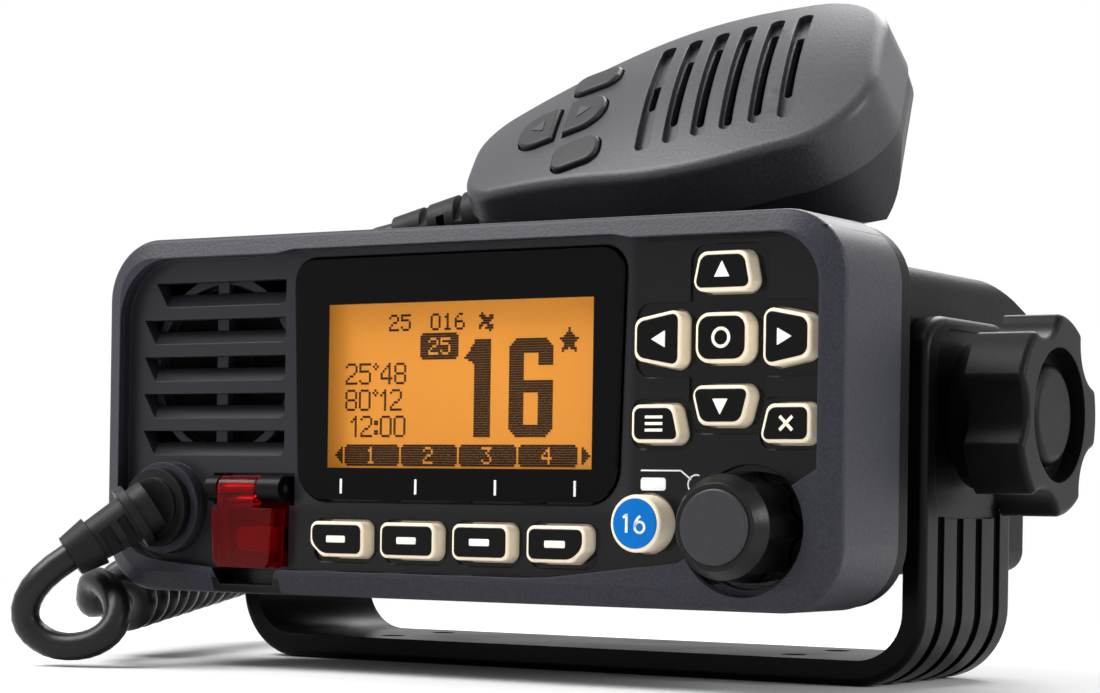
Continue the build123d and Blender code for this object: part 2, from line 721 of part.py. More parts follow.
with BuildPart() as chassis:
    with BuildSketch(front.offset(-flange_front)):
        RectangleRounded(panel_width - 2 * flange_inset, panel_height - 2 * flange_inset,
                         panel_corner - flange_inset)
    extrude(amount=-(flange_back - flange_front))
    with BuildSketch(front.offset(-flange_back)):
        RectangleRounded(panel_width - 2.4, panel_height - 2.4, panel_corner - 1.2)
    with BuildSketch(front.offset(-shoulder_back)):
        RectangleRounded(2 * body_half_width, 2 * body_half_height, 4.0)
    loft()
    with BuildSketch(front.offset(-shoulder_back)):
        RectangleRounded(2 * body_half_width, 2 * body_half_height, 4.0)
    extrude(amount=-(fin_back_y - shoulder_back))
    # sloping rear of the top
    with BuildSketch(Plane(origin=fixed(-90, 0, 0), x_dir=(0, 1, 0), z_dir=(1, 0, 0))):
        with BuildLine():
            Polyline((slope_start, body_half_height), (fin_back_y + 2, slope_rear_z - 0.7),
                     (fin_back_y + 2, body_half_height + 5), (slope_start, body_half_height + 5),
                     close=True)
        make_face()
    extrude(amount=180, mode=Mode.SUBTRACT)
    # low cooling ribs on the top
    with BuildSketch(front.offset(-34.0)):
        for rib in range(rib_count):
            with Locations((rib_left + rib * 6.6, body_half_height + rib_height / 2 - 0.3)):
                Rectangle(2.4, rib_height + 0.6)
    extrude(amount=-40.0)
    # cooling fins across the rear
    with BuildSketch(Plane(origin=fixed(0, rear_wall_y, 0), x_dir=(1, 0, 0),
                           z_dir=(0, -1, 0))):
        for slot in range(15):
            with Locations((-66.0 + slot * 6.0, 0)):
                Rectangle(3.6, 70.0)
        with Locations((48.0, 0)):
            Rectangle(50.0, 70.0)
    extrude(amount=-20.0, mode=Mode.SUBTRACT)
    # inside
    with BuildSketch(front.offset(-flange_front)):
        RectangleRounded(2 * (body_half_width - cavity_wall), 2 * (body_half_height - cavity_wall),
                         3.0)
    extrude(amount=-(slope_start - flange_front), mode=Mode.SUBTRACT)
    with BuildSketch(front.offset(-slope_start)):
        with Locations((0, -3.0)):
            Rectangle(2 * (body_half_width - cavity_wall),
                      2 * (body_half_height - cavity_wall) - 6.0)
    extrude(amount=-(rear_wall_y - 4.0 - slope_start), mode=Mode.SUBTRACT)
    # screw pockets in the shoulder and clearance holes
    with BuildSketch(front.offset(-flange_back)):
        with GridLocations(148.0, 42.0, 2, 2):
            Circle(3.2)
    extrude(amount=-8.0, mode=Mode.SUBTRACT)
    with BuildSketch(front.offset(-flange_front)):
        with GridLocations(148.0, 42.0, 2, 2):
            Circle(1.8)
    extrude(amount=-5.0, mode=Mode.SUBTRACT)
    # side bosses that carry the tilt studs
    for side in (-1, 1):
        with BuildSketch(Plane(origin=(side * boss_face_x, 0, pivot_z), x_dir=(0, 1, 0),
                               z_dir=(side, 0, 0))):
            Circle(12.0)
        extrude(amount=-10.0)
        with BuildSketch(Plane(origin=(side * (boss_face_x + 1), 0, pivot_z), x_dir=(0, 1, 0),
                               z_dir=(side, 0, 0))):
            Circle(stud_radius + running_gap)
        extrude(amount=-14.0, mode=Mode.SUBTRACT)
    # rear openings
    with BuildSketch(Plane(origin=fixed(0, rear_wall_y, 0), x_dir=(1, 0, 0),
                           z_dir=(0, -1, 0))):
        with Locations((38.0, 0)):
            Circle(6.0)
        with Locations((59.0, -12.0)):
            Circle(5.0)
        with Locations((59.0, 9.0)):
            Circle(1.6)
    extrude(amount=8.0, mode=Mode.SUBTRACT)
chassis.part.label = "chassis"
export_step(chassis.part, "parts/chassis.step")
print("chassis", chassis.part.volume, len(chassis.solids()))

with BuildPart() as panel_screws:
    with BuildSketch(front.offset(-flange_back)):
        with GridLocations(148.0, 42.0, 2, 2):
            Circle(2.7)
    extrude(amount=-2.0)
    with BuildSketch(front.offset(-(flange_back + 2.0))):
        with GridLocations(148.0, 42.0, 2, 2):
            Rectangle(4.0, 0.8)
            Rectangle(0.8, 4.0)
    extrude(amount=1.1, mode=Mode.SUBTRACT)
    with BuildSketch(front.offset(-flange_back)):
        with GridLocations(148.0, 42.0, 2, 2):
            Circle(1.25)
    extrude(amount=15.0)
panel_screws.part.label = "panel_screws"
export_step(panel_screws.part, "parts/panel_screws.step")

# ------------------------------------------------------------------ electronics
board_z = -12.0
with BuildPart() as main_board:
    with BuildSketch(Plane(origin=fixed(0, 58.0, board_z), x_dir=(1, 0, 0), z_dir=(0, 0, 1))):
        Rectangle(120.0, 58.0)
    extrude(amount=1.6)
    with BuildSketch(Plane(origin=fixed(0, 58.0, board_z + 1.6), x_dir=(1, 0, 0),
                           z_dir=(0, 0, 1))):
        with Locations((-42.0, -16.0)):
            Rectangle(14.0, 14.0)
        with Locations((-16.0, -18.0)):
            Rectangle(10.0, 8.0)
        with Locations((48.0, -14.0)):
            Rectangle(12.0, 10.0)
    extrude(amount=2.4)
    with BuildSketch(Plane(origin=fixed(0, 58.0, board_z + 1.6), x_dir=(1, 0, 0),
                           z_dir=(0, 0, 1))):
        with GridLocations(12.0, 0, 2, 1):
            with Locations((-50.0, 8.0)):
                Circle(4.0)
    extrude(amount=13.0)
    with BuildSketch(Plane(origin=fixed(0, 58.0, board_z), x_dir=(1, 0, 0), z_dir=(0, 0, 1))):
        with GridLocations(112.0, 48.0, 2, 2):
            Circle(2.4)
    extrude(amount=-(board_z + body_half_height - cavity_wall))
main_board.part.label = "main_board"
export_step(main_board.part, "parts/main_board.step")

with BuildPart() as power_module:
    with BuildSketch(Plane(origin=fixed(30.0, 74.0, board_z + 1.6), x_dir=(1, 0, 0),
                           z_dir=(0, 0, 1))):
        Rectangle(46.0, 18.0)
    extrude(amount=7.0)
    with BuildSketch(Plane(origin=fixed(30.0, 74.0, board_z + 8.6), x_dir=(1, 0, 0),
                           z_dir=(0, 0, 1))):
        Rectangle(34.0, 14.0)
    extrude(amount=2.5)
power_module.part.label = "power_module"
export_step(power_module.part, "parts/power_module.step")

with BuildPart() as shield_can:
    with BuildSketch(Plane(origin=fixed(12.0, 46.0, board_z + 1.6), x_dir=(1, 0, 0),
                           z_dir=(0, 0, 1))):
        RectangleRounded(34.0, 26.0, 1.2)
    extrude(amount=6.0)
    offset(amount=-0.6, openings=shield_can.faces().sort_by(Axis.Z)[0])
shield_can.part.label = "shield_can"
export_step(shield_can.part, "parts/shield_can.step")

rear = Plane(origin=fixed(0, rear_wall_y, 0), x_dir=(-1, 0, 0), z_dir=(0, 1, 0))
with BuildPart() as antenna_connector:
    with BuildSketch(rear):
        with Locations((-38.0, 0)):
            RectangleRounded(24.0, 24.0, 2.0)
    extrude(amount=2.0)
    with BuildSketch(rear.offset(2.0)):
        with Locations((-38.0, 0)):
            Circle(7.9)
    extrude(amount=12.4)
    with BuildSketch(rear.offset(14.4)):
        with Locations((-38.0, 0)):
            Circle(6.6)
    extrude(amount=-10.0, mode=Mode.SUBTRACT)
    with BuildSketch(rear.offset(14.4)):
        with Locations((-38.0, 0)):
            Circle(3.4)
            Circle(2.0, mode=Mode.SUBTRACT)
    extrude(amount=-11.0)
    with BuildSketch(rear):
        with Locations((-38.0, 0)):
            Circle(5.6)
    extrude(amount=-7.0)
    with BuildSketch(rear.offset(2.0)):
        with Locations((-38.0, 0)):
            with GridLocations(18.0, 18.0, 2, 2):
                Circle(1.9)
    extrude(amount=1.2)
antenna_connector.part.label = "antenna_connector"
export_step(antenna_connector.part, "parts/antenna_connector.step")

with BuildPart() as cable_grommet:
    with BuildSketch(rear):
        with Locations((-59.0, -12.0)):
            Circle(6.6)
    extrude(amount=2.2)
    with BuildSketch(rear):
        with Locations((-59.0, -12.0)):
            Circle(4.9)
    extrude(amount=-5.4)
    with BuildSketch(rear.offset(2.2)):
        with Locations((-59.0, -12.0)):
            Circle(4.6)
    extrude(amount=6.0, taper=8)
    with BuildSketch(rear.offset(9.0)):
        with Locations((-59.0, -12.0)):
            Circle(2.2)
    extrude(amount=-16.0, mode=Mode.SUBTRACT)
cable_grommet.part.label = "cable_grommet"
export_step(cable_grommet.part, "parts/cable_grommet.step")

with BuildPart() as ground_screw:
    with BuildSketch(rear):
        with Locations((-59.0, 9.0)):
            Circle(3.9)
    extrude(amount=0.8)
    with BuildSketch(rear.offset(0.8)):
        with Locations((-59.0, 9.0)):
            Circle(3.1)
    extrude(amount=2.2)
    with BuildSketch(rear.offset(3.0)):
        with Locations((-59.0, 9.0)):
            Rectangle(4.6, 0.9)
    extrude(amount=-1.2, mode=Mode.SUBTRACT)
    with BuildSketch(rear):
        with Locations((-59.0, 9.0)):
            Circle(1.6)
    extrude(amount=-3.6)
ground_screw.part.label = "ground_screw"
export_step(ground_screw.part, "parts/ground_screw.step")

# ------------------------------------------------------------------ cradle bracket
arm_outer_x = arm_inner_x + arm_thickness
strap = Plane(origin=(0, -bracket_half_depth, 0), x_dir=(1, 0, 0), z_dir=(0, -1, 0))
inner_bend = bend_radius - base_thickness
groove_starts = [band_width + index * (band_width + groove_width) for index in range(4)]
with BuildPart() as groove_cutter:
    for start in groove_starts:
        with BuildSketch(strap.offset(-start)):
            with BuildLine():
                Polyline((-arm_outer_x - 3, pivot_z - 17.0), (-arm_outer_x - 3, -3),
                         (arm_outer_x + 3, -3), (arm_outer_x + 3, pivot_z - 17.0),
                         (arm_outer_x - groove_depth, pivot_z - 17.0),
                         (arm_outer_x - groove_depth, groove_depth),
                         (-arm_outer_x + groove_depth, groove_depth),
                         (-arm_outer_x + groove_depth, pivot_z - 17.0), close=True)
            make_face()
            fillet(vertices().filter_by(lambda v: abs(v.Y - groove_depth) < 0.01),
                   bend_radius - groove_depth)
            Rectangle(2 * (arm_outer_x - bend_radius), 30.0, mode=Mode.SUBTRACT)
        extrude(amount=-groove_width)
with BuildPart() as arm_recess:
    for side in (-1, 1):
        with BuildSketch(Plane(origin=(side * arm_outer_x, 0, pivot_z), x_dir=(0, 1, 0),
                               z_dir=(side, 0, 0))):
            with Locations((0, (arm_top_z - pivot_z - 20.0) / 2 - 0.4)):
                RectangleRounded(2 * (bracket_half_depth - 4.2),
                                 arm_top_z - pivot_z + 20.0 - 3.6, 6.0)
            Circle(9.0, mode=Mode.SUBTRACT)
        extrude(amount=-groove_depth)
with BuildPart() as bracket:
    with BuildSketch(strap):
        with BuildLine():
            Polyline((-arm_outer_x, arm_top_z), (-arm_outer_x, 0), (arm_outer_x, 0),
                     (arm_outer_x, arm_top_z), close=True)
        make_face()
        fillet(vertices().group_by(Axis.Y)[0], bend_radius)
        with BuildSketch(mode=Mode.PRIVATE) as hollow:
            with BuildLine():
                Polyline((-arm_inner_x, arm_top_z + 5), (-arm_inner_x, base_thickness),
                         (arm_inner_x, base_thickness), (arm_inner_x, arm_top_z + 5),
                         close=True)
            make_face()
            fillet(vertices().group_by(Axis.Y)[0], inner_bend)
        add(hollow.sketch, mode=Mode.SUBTRACT)
    extrude(amount=-2 * bracket_half_depth)
    top_corners = bracket.edges().filter_by(Axis.X).group_by(Axis.Z)[-1]
    fillet(top_corners, arm_top_corner)
    outer_edges = [edge for face in (bracket.faces().sort_by(Axis.Z)[0],
                                     bracket.faces().sort_by(Axis.X)[0],
                                     bracket.faces().sort_by(Axis.X)[-1])
                   for edge in face.edges().filter_by(
                       lambda e: abs(abs(e.center().Y) - bracket_half_depth) < 0.01)]
    fillet(outer_edges, bracket_edge)
    add(groove_cutter.part, mode=Mode.SUBTRACT)
    add(arm_recess.part, mode=Mode.SUBTRACT)
    for side in (-1, 1):
        with BuildSketch(Plane(origin=(side * (arm_outer_x + 1), 0, pivot_z),
                               x_dir=(0, 1, 0), z_dir=(side, 0, 0))):
            Circle(stud_radius + 0.3)
        extrude(amount=-8.0, mode=Mode.SUBTRACT)
    with BuildSketch(Plane.XY.offset(base_thickness)):
        with GridLocations(2 * base_hole_x, 2 * base_hole_y, 2, 2):
            Circle(base_hole_radius)
    extrude(amount=-8.0, mode=Mode.SUBTRACT)
bracket.part.label = "bracket"
export_step(bracket.part, "parts/bracket.step")
print("bracket", bracket.part.volume, len(bracket.solids()))

knob_inner_x = arm_outer_x + washer_thickness
for side, side_name in ((-1, "left"), (1, "right")):
    knob_face = Plane(origin=(side * knob_outer_x, 0, pivot_z), x_dir=(0, side, 0),
                      z_dir=(side, 0, 0))
    with BuildPart() as bracket_knob:
        with BuildSketch(knob_face):
            Circle(knob_radius)
            with PolarLocations(knob_radius + 4.6, 5, start_angle=side * 36.0 + 90 - side * 90):
                Circle(8.0, mode=Mode.SUBTRACT)
            fillet(vertices(), 1.6)
        extrude(amount=-knob_head)
        fillet(bracket_knob.faces().sort_by(Axis.X)[-1 if side > 0 else 0].edges(), 1.1)
        with BuildSketch(knob_face.offset(-knob_head)):
            Circle(14.4)
        extrude(amount=-(knob_outer_x - knob_inner_x - knob_head), taper=14.0)
        with BuildSketch(knob_face):
            Circle(12.0)
        extrude(amount=-3.4, mode=Mode.SUBTRACT)
        with BuildSketch(knob_face.offset(-3.4)):
            Circle(9.2)
        extrude(amount=2.4)
        dome_edge = bracket_knob.edges().filter_by(GeomType.CIRCLE).filter_by(
            lambda e: abs(abs(e.center().X) - knob_outer_x + 1.0) < 0.01)
        fillet(dome_edge, 2.2)
        with BuildSketch(Plane(origin=(side * knob_inner_x, 0, pivot_z), x_dir=(0, 1, 0),
                               z_dir=(side, 0, 0))):
            Circle(stud_radius)
        extrude(amount=10.0, mode=Mode.SUBTRACT)
    bracket_knob.part.label = f"bracket_knob_{side_name}"
    export_step(bracket_knob.part, f"parts/bracket_knob_{side_name}.step")
    with BuildPart() as bracket_stud:
        with BuildSketch(Plane(origin=(side * 60.0, 0, pivot_z), x_dir=(0, 1, 0),
                               z_dir=(side, 0, 0))):
            Circle(stud_radius)
        extrude(amount=knob_inner_x + 10.0 - 60.0)
        chamfer(bracket_stud.edges().sort_by(Axis.X)[0 if side > 0 else -1], 0.7)
    bracket_stud.part.label = f"bracket_stud_{side_name}"
    export_step(bracket_stud.part, f"parts/bracket_stud_{side_name}.step")

with BuildPart() as bracket_washers:
    for side in (-1, 1):
        with BuildSketch(Plane(origin=(side * arm_outer_x, 0, pivot_z), x_dir=(0, 1, 0),
                               z_dir=(side, 0, 0))):
            Circle(8.5)
            Circle(stud_radius + 0.3, mode=Mode.SUBTRACT)
        extrude(amount=washer_thickness - 0.1)
bracket_washers.part.label = "bracket_washers"
export_step(bracket_washers.part, "parts/bracket_washers.step")

# ------------------------------------------------------------------ microphone
mic_corners = [(mic_top_end, mic_half_width - 4.0), (6.0, mic_half_width),
               (mic_cord_end, 12.5), (mic_cord_end, -12.5), (6.0, -mic_half_width),
               (mic_top_end, -mic_half_width + 4.0)]
mic_corner_radii = [19.0, 60.0, 12.0, 12.0, 60.0, 19.0]
with BuildSketch() as mic_outline:
    with BuildLine():
        Polyline(*mic_corners, close=True)
    make_face()
    for (corner_x, corner_y), radius in zip(mic_corners, mic_corner_radii):
        fillet(vertices().sort_by_distance(Vector(corner_x, corner_y, 0))[0], radius)

# the face is crowned along the body and across it: each dome is the room under such a face
mic_key_openings = {
    "mic_key_pair": (-20.0, 0.0, 20.4, 12.0, 5.6),
    "mic_key_power": (-14.6, 12.8, 11.0, 8.2, 3.2),
    "mic_key_sixteen": (-14.6, -13.8, 11.0, 8.2, 3.2),
}
mic_domes = {}
for level in (mic_key_rise, 0.0, -groove_floor, -mic_skin, -mic_skin - touch_gap):
    with BuildPart() as dome:
        with BuildSketch(Plane(origin=mic.from_local_coords(Vector(mic_crown_x, 0, 0)),
                               x_dir=mic.y_dir, z_dir=mic.x_dir)):
            with Locations((0, mic_crest + level - mic_dome_radius)):
                Circle(mic_dome_radius)
            with Locations((0, mic_crest + level - 40.0 - mic_dome_radius)):
                Rectangle(3 * mic_dome_radius, 2 * mic_dome_radius, mode=Mode.SUBTRACT)
        revolve(axis=Axis(mic.from_local_coords(
            Vector(mic_crown_x, 0, mic_crest + level - mic_crown_radius)), mic.y_dir),
            revolution_arc=360)
    mic_domes[level] = dome.part


def mic_face_z(x, y):
    """Height of the microphone's face above its frame at a place on it."""
    return (mic_crest - y ** 2 / (2 * mic_dome_radius)
            - (x - mic_crown_x) ** 2 / (2 * mic_crown_radius))


def mic_top_edges(piece):
    """Edges round the face of a microphone piece that looks out of the front."""
    top = max(piece.faces(), key=lambda f: mic.to_local_coords(f.center()).Z)
    return top.edges()


mic_slot_starts = [index * slot_pitch for index in range(slot_count)]
mic_rooms = {}
for gap in (0.0, touch_gap):
    with BuildPart() as room:
        with BuildSketch(mic.offset(mic_seam)):
            with BuildSketch(mode=Mode.PRIVATE) as inner:
                add(mic_outline.sketch)
                offset(amount=-mic_wall - gap)
            add(inner.sketch)
        extrude(amount=mic_crest - mic_seam, taper=7.0)
        add(mic_domes[-mic_skin - gap], mode=Mode.INTERSECT)
    mic_rooms[gap] = room.part

with BuildPart() as mic_louvres:
    with BuildSketch(mic.offset(-9.0)):
        for start in mic_slot_starts:
            with Locations((start, 0)):
                SlotOverall(groove_length, 3.0, rotation=90)
    extrude(amount=14.0)
    add(mic_domes[-groove_floor], mode=Mode.SUBTRACT)

with BuildPart() as mic_front_shell:
    with BuildSketch(mic.offset(mic_seam)):
        add(mic_outline.sketch)
    extrude(amount=mic_crest - mic_seam, taper=7.0)
    add(mic_domes[0.0], mode=Mode.INTERSECT)
    fillet(mic_top_edges(mic_front_shell), 2.4)
    add(mic_rooms[0.0], mode=Mode.SUBTRACT)
    # posts that the rear screws hold in
    for (screw_x, screw_y), seat, tip, foot in mic_screw_places:
        with BuildSketch(mic.offset(foot)):
            with Locations((screw_x, screw_y)):
                Circle(2.8)
        extrude(amount=mic_face_z(screw_x, screw_y) - mic_skin + 0.8 - foot)
        with BuildSketch(mic.offset(foot - 0.1)):
            with Locations((screw_x, screw_y)):
                Circle(1.4)
        extrude(amount=tip - foot + 0.1, mode=Mode.SUBTRACT)
    # louvres over the microphone's speaker
    add(mic_louvres.part, mode=Mode.SUBTRACT)
    for start, half in zip(mic_slot_starts, (4.5, 12.0, 14.5, 16.0, 14.8, 11.0)):
        with BuildSketch(mic.offset(2.0)):
            with Locations((start - 0.4, 0)):
                SlotOverall(2 * half, 1.5, rotation=90)
        extrude(amount=-9.0, mode=Mode.SUBTRACT)
    # openings of the four keys
    for key_x, key_y, key_length, key_height, corner in mic_key_openings.values():
        with BuildSketch(mic.offset(4.0)):
            with Locations((key_x, key_y)):
                RectangleRounded(key_length, key_height, corner)
                if key_y == 0:
                    Rectangle(1.6, 16.0, mode=Mode.SUBTRACT)
        extrude(amount=-14.0, mode=Mode.SUBTRACT)
    # opening of the talk switch in the side wall
    with BuildSketch(Plane(origin=mic.from_local_coords(Vector(ptt_x, 40.0, ptt_z)),
                           x_dir=mic.x_dir, z_dir=mic.y_dir)):
        RectangleRounded(ptt_length, ptt_height, 2.4)
    extrude(amount=-24.0, mode=Mode.SUBTRACT)
    with BuildSketch(Plane(origin=mic.from_local_coords(Vector(mic_cord_end - 3, 0, mic_cord_z)),
                           x_dir=mic.y_dir, z_dir=mic.x_dir)):
        Circle(mic_plug_radius)
    extrude(amount=9.0, mode=Mode.SUBTRACT)
mic_front_shell.part.label = "mic_front_shell"
export_step(mic_front_shell.part, "parts/mic_front_shell.step")
print("mic_front_shell", mic_front_shell.part.volume, len(mic_front_shell.solids()))

with BuildPart() as mic_rear_shell:
    with BuildSketch(mic.offset(mic_seam)):
        with BuildSketch(mode=Mode.PRIVATE) as rear_outline:
            add(mic_outline.sketch)
            offset(amount=-0.35)
        add(rear_outline.sketch)
    extrude(amount=mic_hull - mic_seam)
    with BuildSketch(Plane(origin=mic.from_local_coords(Vector(-60, 0, 0)),
                           x_dir=mic.y_dir, z_dir=mic.x_dir)):
        with BuildLine():
            Polyline((-30.5, mic_seam + 2), (30.5, mic_seam + 2), (24.0, mic_hull),
                     (-24.0, mic_hull), close=True)
        make_face()
        fillet(vertices().group_by(Axis.Y)[0], 16.0)
    extrude(amount=120.0, mode=Mode.INTERSECT)
    with BuildSketch(Plane(origin=mic.from_local_coords(Vector(0, 60, 0)),
                           x_dir=mic.x_dir, z_dir=-mic.y_dir)):
        with BuildLine():
            Polyline((mic_cord_end - 1, mic_seam + 2), (mic_cord_end, -24.0), (-14.0, mic_hull),
                     (mic_top_end - 3.5, mic_hull), (mic_top_end + 1, mic_seam + 2), close=True)
        make_face()
        fillet(vertices().sort_by_distance(Vector(mic_cord_end, -24.0, 0))[0], 4.0)
        fillet(vertices().sort_by_distance(Vector(-14.0, mic_hull, 0))[0], 30.0)
        fillet(vertices().sort_by_distance(Vector(mic_top_end - 3.5, mic_hull, 0))[0], 10.0)
    extrude(amount=120.0, mode=Mode.INTERSECT)
    # round pad that carries the hanger button
    with BuildSketch(mic.offset(mic_hull + 3.0)):
        with Locations((hanger_x, 0)):
            Circle(12.6)
    extrude(amount=-3.0 - hanger_pad, taper=14)
    with BuildSketch(mic.offset(mic_seam)):
        with BuildSketch(mode=Mode.PRIVATE) as rear_inner:
            add(mic_outline.sketch)
            offset(amount=-mic_wall - 0.35)
        add(rear_inner.sketch)
    extrude(amount=-9.0, taper=11.0, mode=Mode.SUBTRACT)
    with BuildSketch(Plane(origin=mic.from_local_coords(Vector(mic_cord_end - 3, 0, mic_cord_z)),
                           x_dir=mic.y_dir, z_dir=mic.x_dir)):
        Circle(mic_plug_radius)
    extrude(amount=9.0, mode=Mode.SUBTRACT)
    for (screw_x, screw_y), seat, tip, foot in mic_screw_places:
        post_top = mic_seam if screw_x > 0 else mic_board_back - touch_gap
        with BuildSketch(mic.offset(seat + 0.5)):
            with Locations((screw_x, screw_y)):
                Circle(2.8)
        extrude(amount=post_top - seat - 0.5)
        with BuildSketch(mic.offset(seat)):
            with Locations((screw_x, screw_y)):
                Circle(2.5)
        extrude(amount=-10.0, mode=Mode.SUBTRACT)
        with BuildSketch(mic.offset(seat - 1.0)):
            with Locations((screw_x, screw_y)):
                Circle(1.4)
        extrude(amount=post_top - seat + 2.0, mode=Mode.SUBTRACT)
mic_rear_shell.part.label = "mic_rear_shell"
export_step(mic_rear_shell.part, "parts/mic_rear_shell.step")
print("mic_rear_shell", mic_rear_shell.part.volume, len(mic_rear_shell.solids()))

with BuildPart() as mic_board:
    with BuildSketch(mic.offset(mic_board_front)):
        with BuildLine():
            Polyline((-3.0, -15.0), (-3.0, 15.0), (-22.0, 15.0), (-33.0, 9.0), (-33.0, -9.0),
                     (-22.0, -15.0), close=True)
        make_face()
        for (screw_x, screw_y), seat, tip, foot in mic_screw_places:
            with Locations((screw_x, screw_y)):
                Circle(1.7, mode=Mode.SUBTRACT)
    extrude(amount=mic_board_back - mic_board_front)
    with BuildSketch(mic.offset(mic_board_back)):
        with Locations((-16.0, 6.0)):
            Rectangle(8.0, 8.0)
        with Locations((-24.0, -3.0)):
            Rectangle(6.0, 4.0)
    extrude(amount=-1.8)
mic_board.part.label = "mic_board"
export_step(mic_board.part, "parts/mic_board.step")

with BuildPart() as mic_speaker:
    with BuildSketch(mic.offset(-3.1)):
        with Locations((14.2, 0)):
            Circle(14.6)
            Circle(12.6, mode=Mode.SUBTRACT)
    extrude(amount=-2.0)
    with BuildSketch(mic.offset(-4.2)):
        with Locations((14.2, 0)):
            Circle(14.6)
    extrude(amount=-1.0)
    with BuildSketch(mic.offset(-5.2)):
        with Locations((14.2, 0)):
            Circle(8.0)
    extrude(amount=-5.0)
mic_speaker.part.label = "mic_speaker"
export_step(mic_speaker.part, "parts/mic_speaker.step")

mic_keys = {
    "mic_key_down": ("mic_key_pair", -1),
    "mic_key_up": ("mic_key_pair", 1),
    "mic_key_power": ("mic_key_power", 0),
    "mic_key_sixteen": ("mic_key_sixteen", 0),
}
for key_name, (opening, half) in mic_keys.items():
    key_x, key_y, key_length, key_height, corner = mic_key_openings[opening]
    with BuildPart() as mic_key_foot_block:
        with BuildSketch(mic.offset(mic_key_foot)):
            with Locations((key_x, key_y)):
                RectangleRounded(key_length + 0.8, key_height + 0.8, corner + 0.4)
            if half:
                with Locations((key_x - half * (20.0 - 0.5), key_y)):
                    Rectangle(40.0, 30.0, mode=Mode.SUBTRACT)
        extrude(amount=10.0)
        add(mic_rooms[touch_gap], mode=Mode.INTERSECT)
    with BuildPart() as mic_key:
        with BuildSketch(mic.offset(mic_key_foot)):
            with Locations((key_x, key_y)):
                RectangleRounded(key_length - 2 * touch_gap, key_height - 2 * touch_gap,
                                 corner - touch_gap)
            if half:
                with Locations((key_x - half * (20.0 - 0.8 - touch_gap), key_y)):
                    Rectangle(40.0, 30.0, mode=Mode.SUBTRACT)
        extrude(amount=14.0)
        add(mic_domes[mic_key_rise], mode=Mode.INTERSECT)
        fillet(mic_top_edges(mic_key), 0.7)
        add(mic_key_foot_block.part)
    mic_key.part.label = key_name
    export_step(mic_key.part, f"parts/{key_name}.step")
    print(key_name, mic_key.part.volume, len(mic_key.solids()))

with BuildPart() as mic_ptt:
    with BuildSketch(Plane(origin=mic.from_local_coords(Vector(ptt_x, 28.6, ptt_z)),
                           x_dir=mic.x_dir, z_dir=mic.y_dir)):
        RectangleRounded(ptt_length - 2 * touch_gap, ptt_height - 2 * touch_gap,
                         2.4 - touch_gap)
    extrude(amount=-7.2)
    fillet(mic_ptt.edges().filter_by(
        lambda e: mic.to_local_coords(e.center()).Y > 28.5), 0.8)
    with BuildSketch(Plane(origin=mic.from_local_coords(Vector(ptt_x, 21.6, ptt_z)),
                           x_dir=mic.x_dir, z_dir=mic.y_dir)):
        RectangleRounded(ptt_length + 1.0, ptt_height + 1.4, 1.6)
    extrude(amount=-1.2)
mic_ptt.part.label = "mic_ptt"
export_step(mic_ptt.part, "parts/mic_ptt.step")

with BuildPart() as mic_hanger_button:
    with BuildSketch(mic.offset(mic_hull - hanger_pad)):
        with Locations((hanger_x, 0)):
            Circle(5.0)
    extrude(amount=-hanger_neck)
    with BuildSketch(mic.offset(mic_hull - hanger_pad - hanger_neck)):
        with Locations((hanger_x, 0)):
            Circle(9.0)
    extrude(amount=-3.0)
    fillet(mic_hanger_button.edges().sort_by(Axis(mic.origin, mic.z_dir))[0], 0.8)
mic_hanger_button.part.label = "mic_hanger_button"
export_step(mic_hanger_button.part, "parts/mic_hanger_button.step")

with BuildPart() as mic_screws:
    for (screw_x, screw_y), seat, tip, foot in mic_screw_places:
        with BuildSketch(mic.offset(seat)):
            with Locations((screw_x, screw_y)):
                Circle(2.3)
        extrude(amount=-1.6)
        with BuildSketch(mic.offset(seat - 1.6)):
            with Locations((screw_x, screw_y)):
                Rectangle(3.2, 0.7)
                Rectangle(0.7, 3.2)
        extrude(amount=0.9, mode=Mode.SUBTRACT)
        with BuildSketch(mic.offset(seat)):
            with Locations((screw_x, screw_y)):
                Circle(1.4)
        extrude(amount=tip - 0.1 - seat)
mic_screws.part.label = "mic_screws"
export_step(mic_screws.part, "parts/mic_screws.step")

relief_start = mic.from_local_coords(Vector(mic_cord_end - 0.2, 0, mic_cord_z))
relief = Plane(origin=relief_start, x_dir=mic.y_dir, z_dir=-mic.x_dir)
with BuildPart() as mic_strain_relief:
    with BuildSketch(relief):
        Circle(6.0)
    with BuildSketch(relief.offset(mic_relief_length)):
        Circle(3.6)
    loft()
    with BuildSketch(relief):
        Circle(mic_plug_radius)
    extrude(amount=-4.6)
    for step in (3.6, 7.6, 11.6, 15.6):
        for turn in (0, 180):
            with BuildSketch(relief.offset(step)):
                with Locations(Rotation(0, 0, turn + (90 if step in (3.6, 11.6) else 0))):
                    with Locations((5.7, 0)):
                        Rectangle(5.6, 10.0)
            extrude(amount=1.8, mode=Mode.SUBTRACT)
mic_strain_relief.part.label = "mic_strain_relief"
export_step(mic_strain_relief.part, "parts/mic_strain_relief.step")

